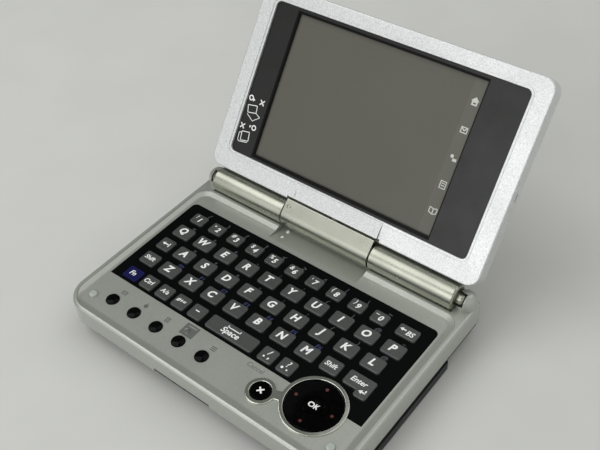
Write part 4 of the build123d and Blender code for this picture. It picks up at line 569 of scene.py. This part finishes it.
# %% Words and signs on the single keys
key_print("backspace_key", [(shape, -1.9, 0.3) for shape in arrow_left(2.4)]
          + [(lettering("BS", 1.9, SLANT), 1.2, -0.3)])
key_print("tab_key", [(bar(0.4, 2.0), 1.5, 0.1)] + [(shape, -0.3, 0.1) for shape in arrow_left(2.8)])
key_words = {
    "left_shift_key": ("Shift", 1.75, -0.1, 0.15),
    "right_shift_key": ("Shift", 1.75, -0.1, 0.15),
    "fn_key": ("Fn", 1.9, -0.3, 0.2),
    "ctrl_key": ("Ctrl", 1.75, -0.1, 0.2),
    "mode_key": ("A/a", 1.7, -0.1, 0.2),
    "symbol_key": ("#+=", 1.5, -0.1, 0.2),
}
for node, (word, tall, dx, dy) in key_words.items():
    key_print(node, [(lettering(word, tall, SLANT), dx, dy)])
key_print("dash_key", [(bar(1.7, 0.42), -0.2, 0.2)])
key_print("comma_key", [(disc(0.36), -0.9, -1.2), (lettering(",", 2.4, SLANT), 0.9, -1.4),
                        (lettering("/", 1.8, SLANT, HALF_BOLD), 0.2, 0.9)])
key_print("period_key", [(disc(0.48), -1.1, -1.2), (disc(0.32), 0.9, -1.4),
                         (lettering("?", 2.4, SLANT, THIN / 2), 0.3, 0.8)])

# %% [markdown]
# The space key and the enter key are the large ones. The space key has the long low bracket that stands
# for a space above its word. The enter key has the shape of an L, so its word and its arrow are placed
# from its corners: the word on the wide part, and the bent arrow on the leg.

# %% Space key and enter key
SPACE_LINE, SPACE_REACH = 0.35, 2.6
key_print("space_key", [(lettering("Space", 2.2, SLANT), -0.3, -0.8),
                        (bar(2 * SPACE_REACH, SPACE_LINE), 0.0, 1.1),
                        (bar(SPACE_LINE, 0.9), -SPACE_REACH, 1.4),
                        (bar(SPACE_LINE, 0.9), SPACE_REACH, 1.4)])
enter_low, enter_high = span("enter_key")
enter_top = enter_high.z
printed("enter_key_print", "enter_key", "white",
        [(lettering("Enter", 1.85, SLANT), enter_high.x - 5.7, enter_high.y - 3.2, enter_top)]
        + [(shape, enter_high.x - 2.9, enter_low.y + 2.7, enter_top) for shape in arrow_left(2.6, 1.3)]
        + [(bar(ARROW_LINE, 1.2), enter_high.x - 1.85, enter_low.y + 3.3, enter_top)])
print("enter key, mm:", [round(value, 1) for value in enter_high - enter_low])

# %% [markdown]
# Beside the keys the panel carries dim second marks, for what a key does together with the function key.
# They are small plain signs in grey and in the blue of that key.

# %% Second marks on the panel
BY_DIGIT, BY_LETTER = (2.0, 3.5), (1.6, 3.85)
BY_DIGIT_TALL, BY_LETTER_TALL, BLUE_TALL = 1.9, 1.6, 1.7
digit_signs = "{}[]<>^|\\~"
letter_signs = {"top_letter_keys": "=*+-;:()@_", "home_letter_keys": "=*+-;:()@"}
panel_top = span("keyboard_panel")[1].z


def beside(places, words, tall, shift):
    """Marks beside the keys at places, on the panel."""
    return [(lettering(word, tall, SLANT, THIN), x + shift[0], y + shift[1], panel_top)
            for word, (x, y) in zip(words, places)]


grey_marks = beside(number_places, digit_signs, BY_DIGIT_TALL, BY_DIGIT)
for node, row_signs in letter_signs.items():
    places, _ = cap_centres(node, len(row_signs), LETTER_CAP)
    grey_marks += beside(places, row_signs, BY_LETTER_TALL, BY_LETTER)
printed("panel_print_grey", "base", "dim", grey_marks)
blue_words = ["F%d" % number for number in range(len(rows["bottom_letter_keys"]))]
places, _ = cap_centres("bottom_letter_keys", len(blue_words), LETTER_CAP)
blue_marks = beside(places, blue_words, BLUE_TALL, BY_LETTER)
printed("panel_print_blue", "base", "blue", blue_marks)
print("marks on the panel:", len(grey_marks) + len(blue_marks))

# %% [markdown]
# The pad is a glossy black disc with four dim red dots, and the word on its middle button is the usual
# one. The small button beside it has a bold cross. Both tops are slightly domed, so the marks drop onto
# them.

# %% Pad, middle button and cancel button
pad_x, pad_y, _ = middle("direction_pad")
DOT_RADIUS, DOT_REACH = 0.55, 6.9
printed("pad_dots", "pad", "red",
        [(disc(DOT_RADIUS), pad_x + dx * DOT_REACH, pad_y + dy * DOT_REACH, 0)
         for dx, dy in ((1, 0), (-1, 0), (0, 1), (0, -1))], on="direction_pad")
ok_word = lettering("OK", 1.8, slant=0.1, bold=0.04)
printed("ok_print", "ok", "white", [(ok_word, pad_x, pad_y, 0)], on="ok_button")
cancel_x, cancel_y, _ = middle("cancel_button")
ARM_REACH, ARM_HALF = 1.3, 0.28
quarter = [(ARM_REACH, -ARM_HALF), (ARM_REACH, ARM_HALF), (ARM_HALF, ARM_HALF)]
outline = [(x * math.cos(turn) - y * math.sin(turn), x * math.sin(turn) + y * math.cos(turn))
           for turn in [math.radians(45 + 90 * i) for i in range(4)] for x, y in quarter]
printed("cancel_print", "cancel_button", "white", [(plate(outline), cancel_x, cancel_y, 0)],
        on="cancel_button")
print("pad middle, mm:", round(pad_x, 1), round(pad_y, 1))

# %% [markdown]
# Above each round button the deck has a small grey picture. These are plain ones: an envelope, a clock, a
# page, a box and a sheet of lines. The fourth stands in a darker square. The small button beside the pad
# has its word in faint grey.

# %% Pictures above the round buttons
PICTURE_SHIFT = (1.2, 4.6)
LINE, WIDE_LINE = 0.3, 0.35
envelope = frame_box(2.3, 1.6, LINE) + [bar(1.3, LINE)]
clock = [disc(0.85), bar(LINE, 1.3, 0, 0.9)]
page = frame_box(1.7, 2.1, LINE) + [bar(0.9, LINE, 0, height) for height in (0.35, -0.35)]
sheet = [bar(2.1, WIDE_LINE, 0, height) for height in (0.7, 0, -0.7)]
deck_marks = []
for number, shapes in ((1, envelope), (2, clock), (3, page), (5, sheet)):
    x, y, _ = middle("app_button_%d" % number)
    deck_marks += [(shape, x + PICTURE_SHIFT[0], y + PICTURE_SHIFT[1], 0) for shape in shapes]
printed("deck_print", "base", "grey", deck_marks, on="upper_case")

# %% The dark square and the word beside the pad
square_x, square_y = -12.75, -25.8
square_wide, square_deep = 5.6, 5.0
printed("deck_square", "base", "grey", [(bar(square_wide, square_deep), square_x, square_y, 0)],
        on="upper_case")
printed("deck_square_picture", "base", "pale",
        [(shape, square_x - 0.6, square_y - 0.6, INK) for shape in frame_box(2.4, 1.9, WIDE_LINE)]
        + [(bar(3.6, LINE), square_x, square_y + 1.6, INK)], on="upper_case")
word_x, word_y = 15.1, -24.4
printed("cancel_word", "base", "faint", [(lettering("Cancel", 1.7, 0.0, THIN), word_x, word_y, 0)],
        on="upper_case")

# %% [markdown]
# The screen lies in a window of the dark frame. Its edges are measured on the frame itself, in the lid's
# own frame, and everything printed on the lid is placed there and rides with it.

# %% Window of the screen frame
film = window_high.z
frame_low, frame_high = span("screen_frame", lid_place)
turn_back = lid_place.inverted()
edges = [turn_back @ vertex.co / MM for vertex in nodes["screen_frame"].data.vertices]
window_middle = (window_low.y + window_high.y) / 2
glass_left = max(edge.x for edge in edges if edge.x < 0)
glass_right = min(edge.x for edge in edges if edge.x > 0)
glass_low = max(edge.y for edge in edges if edge.y < window_middle)
glass_high = min(edge.y for edge in edges if edge.y > window_middle)
glass_middle = (glass_low + glass_high) / 2
glass_wide = glass_right - glass_left
glass_tall = glass_high - glass_low
print("window, mm:", round(glass_wide, 1), "by", round(glass_tall, 1))

# %% [markdown]
# Beside the resting screen is a slightly lighter strip with five small white pictures: a house, a letter,
# a dot with a bar, a list and a book. The strip is a thin plate of its own, and the pictures stand on it.

# %% Strip of pictures
STRIP_LEFT = 31.6
STRIP_GAP = 0.05
PICTURES_X = 34.2
picture_heights = (62.1, 52.2, 42.4, 32.8, 23.3)
house = [plate([(-1.5, 0.1), (1.5, 0.1), (0, 1.5)])] + frame_box(2.1, 1.5, 0.5, 0, -0.65)
letter = frame_box(2.6, 2.2, WIDE_LINE) + stroke([(-1.0, 0.8), (0, -0.2), (1.0, 0.8)], 0.4)
dot_and_bar = [disc(0.62, -0.6, 0.5), bar(1.5, 1.0, 0.6, -0.6)]
lines = frame_box(2.4, 2.8, LINE) + [bar(1.4, LINE, 0, 0.5), bar(1.4, LINE, 0, -0.3)]
half_book = [(0, -1.1), (1.4, -0.6), (1.4, 1.2), (0, 0.8)]
book = (stroke(half_book, WIDE_LINE) + stroke([(-x, y) for x, y in half_book], WIDE_LINE)
        + [bar(WIDE_LINE, 1.9, 0, -0.15)])
strip = bar(glass_right - STRIP_LEFT - STRIP_GAP, glass_tall - 2 * STRIP_GAP)
printed("strip_film", "lid", "strip", [(strip, (STRIP_LEFT + glass_right) / 2, glass_middle, film)],
        place=lid_place)
pictures = (house, letter, dot_and_bar, lines, book)
strip_marks = [(shape, PICTURES_X, height, film + INK)
               for shapes, height in zip(pictures, picture_heights) for shape in shapes]
printed("screen_strip_print", "lid", "soft", strip_marks, place=lid_place)

# %% [markdown]
# Two small drawings on the left of the dark frame show the lid turned and folded. They are plain ones,
# drawn as rings, crosses and thin strokes: a ring stands by the way to do it and a cross by the way to
# avoid.

# %% Drawings of the turning lid
RING, CROSS, SIGN = 1.1, 0.95, 0.48
OUTLINE, SHADOW_LINE = 0.3, 0.25
drawing = ring(RING, SIGN, -50.0, 34.3) + cross(CROSS, SIGN, -44.6, 34.0)
drawing += [plate([(-48.8, 33.1), (-48.0, 34.0), (-49.1, 34.6)])]
drawing += stroke([(-50.4, 31.4), (-46.2, 32.2), (-45.8, 29.4), (-49.6, 28.7), (-50.4, 31.4)], OUTLINE)
drawing += stroke([(-49.6, 28.1), (-46.4, 26.2), (-43.6, 28.4), (-45.6, 29.3)], SHADOW_LINE)
drawing += cross(CROSS, SIGN, -50.0, 23.2) + ring(RING, SIGN, -44.7, 24.0)
drawing += [plate([(-46.5, 23.4), (-46.1, 24.6), (-47.0, 24.2)])]
drawing += stroke([(-49.4, 21.2), (-45.9, 21.8), (-45.4, 18.4), (-49.0, 17.7), (-49.4, 21.2)], OUTLINE)
drawing += stroke([(-49.6, 20.8), (-50.5, 20.2), (-50.2, 17.4), (-49.2, 17.1), (-45.6, 17.8)],
                  SHADOW_LINE)
printed("frame_print", "lid", "white", [(shape, 0, 0, frame_high.z) for shape in drawing],
        place=lid_place)
print("screen frame, mm:", [round(value, 1) for value in frame_high - frame_low])

# %% [markdown]
# Round the window the frame steps down and stays in its own shadow. Four narrow plates of black ink
# paint that shadow onto the frame: painted shade, not print.

# %% Painted shadow round the window
LEFT, RIGHT, LOW, HIGH = 1.0, 0.4, 1.3, 0.9
across_middle = (glass_left + glass_right - LEFT + RIGHT) / 2
# Painted shadow: one bar of dark ink along each side of the window.
painted_shadow_bars = [bar(LEFT, glass_tall, glass_left - LEFT / 2, glass_middle),
           bar(RIGHT, glass_tall, glass_right + RIGHT / 2, glass_middle),
           bar(glass_wide + LEFT + RIGHT, LOW, across_middle, glass_low - LOW / 2),
           bar(glass_wide + LEFT + RIGHT, HIGH, across_middle, glass_high + HIGH / 2)]
printed("window_painted_shadow", "lid", "black", [(shape, 0, 0, frame_high.z) for shape in painted_shadow_bars],
        place=lid_place)

# %% [markdown]
# The photo was taken on a plain pale table in soft room light. The table is stage, not part of the
# object. It is a big flat sheet a tenth of a millimetre under the lowest point, so that the two never
# share a plane.

# %% Table
TABLE_REACH = 3.0  # metres
TABLE_GAP = 0.0001
table_mesh = bpy.data.meshes.new("table")
table_shape = bmesh.new()
bmesh.ops.create_grid(table_shape, x_segments=1, y_segments=1, size=TABLE_REACH)
bmesh.ops.translate(table_shape, verts=table_shape.verts, vec=(0, 0, cad_box[0][2] - TABLE_GAP))
table_shape.to_mesh(table_mesh)
table_shape.free()
table_mesh.materials.append(finish("table_top", tone(207, 208, 204), tone(210, 211, 207), grain_mm=40.0,
                                   rough=(0.7, 0.8), drift_mm=60.0, Specular_IOR_Level=0.2))
table = bpy.data.objects.new("table", table_mesh)
bpy.context.scene.collection.objects.link(table)
print("table, m:", 2 * TABLE_REACH)

# %% [markdown]
# The room is a dim world with three soft bright parts: at the front, on the right, and high at the rear,
# where the deck mirrors it to the camera. Four large soft lamps stand in it. All strengths were fitted to
# the photo, by rendering each light alone and looking for the sum that comes nearest.

# %% World
scene = bpy.context.scene
world = bpy.data.worlds.new("room")
world.use_nodes = True
room = world.node_tree
ray = room.nodes.new("ShaderNodeTexCoord")


def toward(direction):
    """How far a ray into the room points along a direction, from -1 to 1."""
    product = room.nodes.new("ShaderNodeVectorMath")
    product.operation = "DOT_PRODUCT"
    product.inputs[1].default_value = Vector(direction).normalized()
    room.links.new(ray.outputs["Generated"], product.inputs[0])
    return product.outputs["Value"]


# Each glow: its direction, where it starts and is full (as toward gives it), and its strength there.
glows = (
    ((-0.3, -1, 0.3), 0.0, 1.0, 0.02, 0.2),
    ((1, 0, 0.3), 0.0, 1.0, 0.02, 0.7),
    ((-0.45, 0.5, 0.7), 0.5, 0.95, 0.0, 0.13),
)
total, *others = [spread(room, toward(direction), *limits) for direction, *limits in glows]
for part in others:
    both = room.nodes.new("ShaderNodeMath")
    both.operation = "ADD"
    room.links.new(total, both.inputs[0])
    room.links.new(part, both.inputs[1])
    total = both.outputs["Value"]
room.links.new(total, room.nodes["Background"].inputs["Strength"])
room.nodes["Background"].inputs["Color"].default_value = (1.0, 1.0, 0.985, 1)
scene.world = world
print("nodes in the world:", len(room.nodes))


# %% Lamps
def soft_lamp(name, place, target, size, watts):
    """A square area lamp that looks at target."""
    data = bpy.data.lights.new(name, "AREA")
    data.size = size
    data.energy = watts
    lamp = bpy.data.objects.new(name, data)
    lamp.location = place
    lamp.rotation_euler = (Vector(target) - Vector(place)).to_track_quat("-Z", "Y").to_euler()
    scene.collection.objects.link(lamp)
    print(name, size, "m,", watts, "W")


foot = (0, 0, 0)
screen_foot = (0, 0, 0.03)
soft_lamp("window_light", (-0.50, -0.94, 0.38), screen_foot, 0.8, 2.0)
soft_lamp("front_light", (-0.10, -0.90, 0.60), screen_foot, 0.7, 2.3)
soft_lamp("ceiling_light", (-0.55, -0.25, 1.1), foot, 0.9, 5.4)
soft_lamp("rear_light", (0.15, 0.62, 0.95), screen_foot, 1.0, 2.3)

# %% [markdown]
# The camera stands where the photograph was taken from. Its place and turn were solved from the parallel
# edges of the case and of the lid, so the render can be laid over the photo.

# %% Camera
camera_data = bpy.data.cameras.new("camera")
camera_data.sensor_width = 36
camera_data.lens = 52.33
camera = bpy.data.objects.new("camera", camera_data)
right = Vector((0.7847, 0.6178, -0.0505))
top = Vector((-0.3982, 0.5649, 0.7227))
back = Vector((0.4751, -0.5470, 0.6893))
turn = Matrix((right, top, back)).transposed().to_4x4()
turn.translation = Vector((0.14056, -0.14245, 0.23872))
camera.matrix_world = turn
scene.collection.objects.link(camera)
scene.camera = camera
scene.view_settings.view_transform = "Standard"
print("camera distance, mm:", round(turn.translation.length / MM))
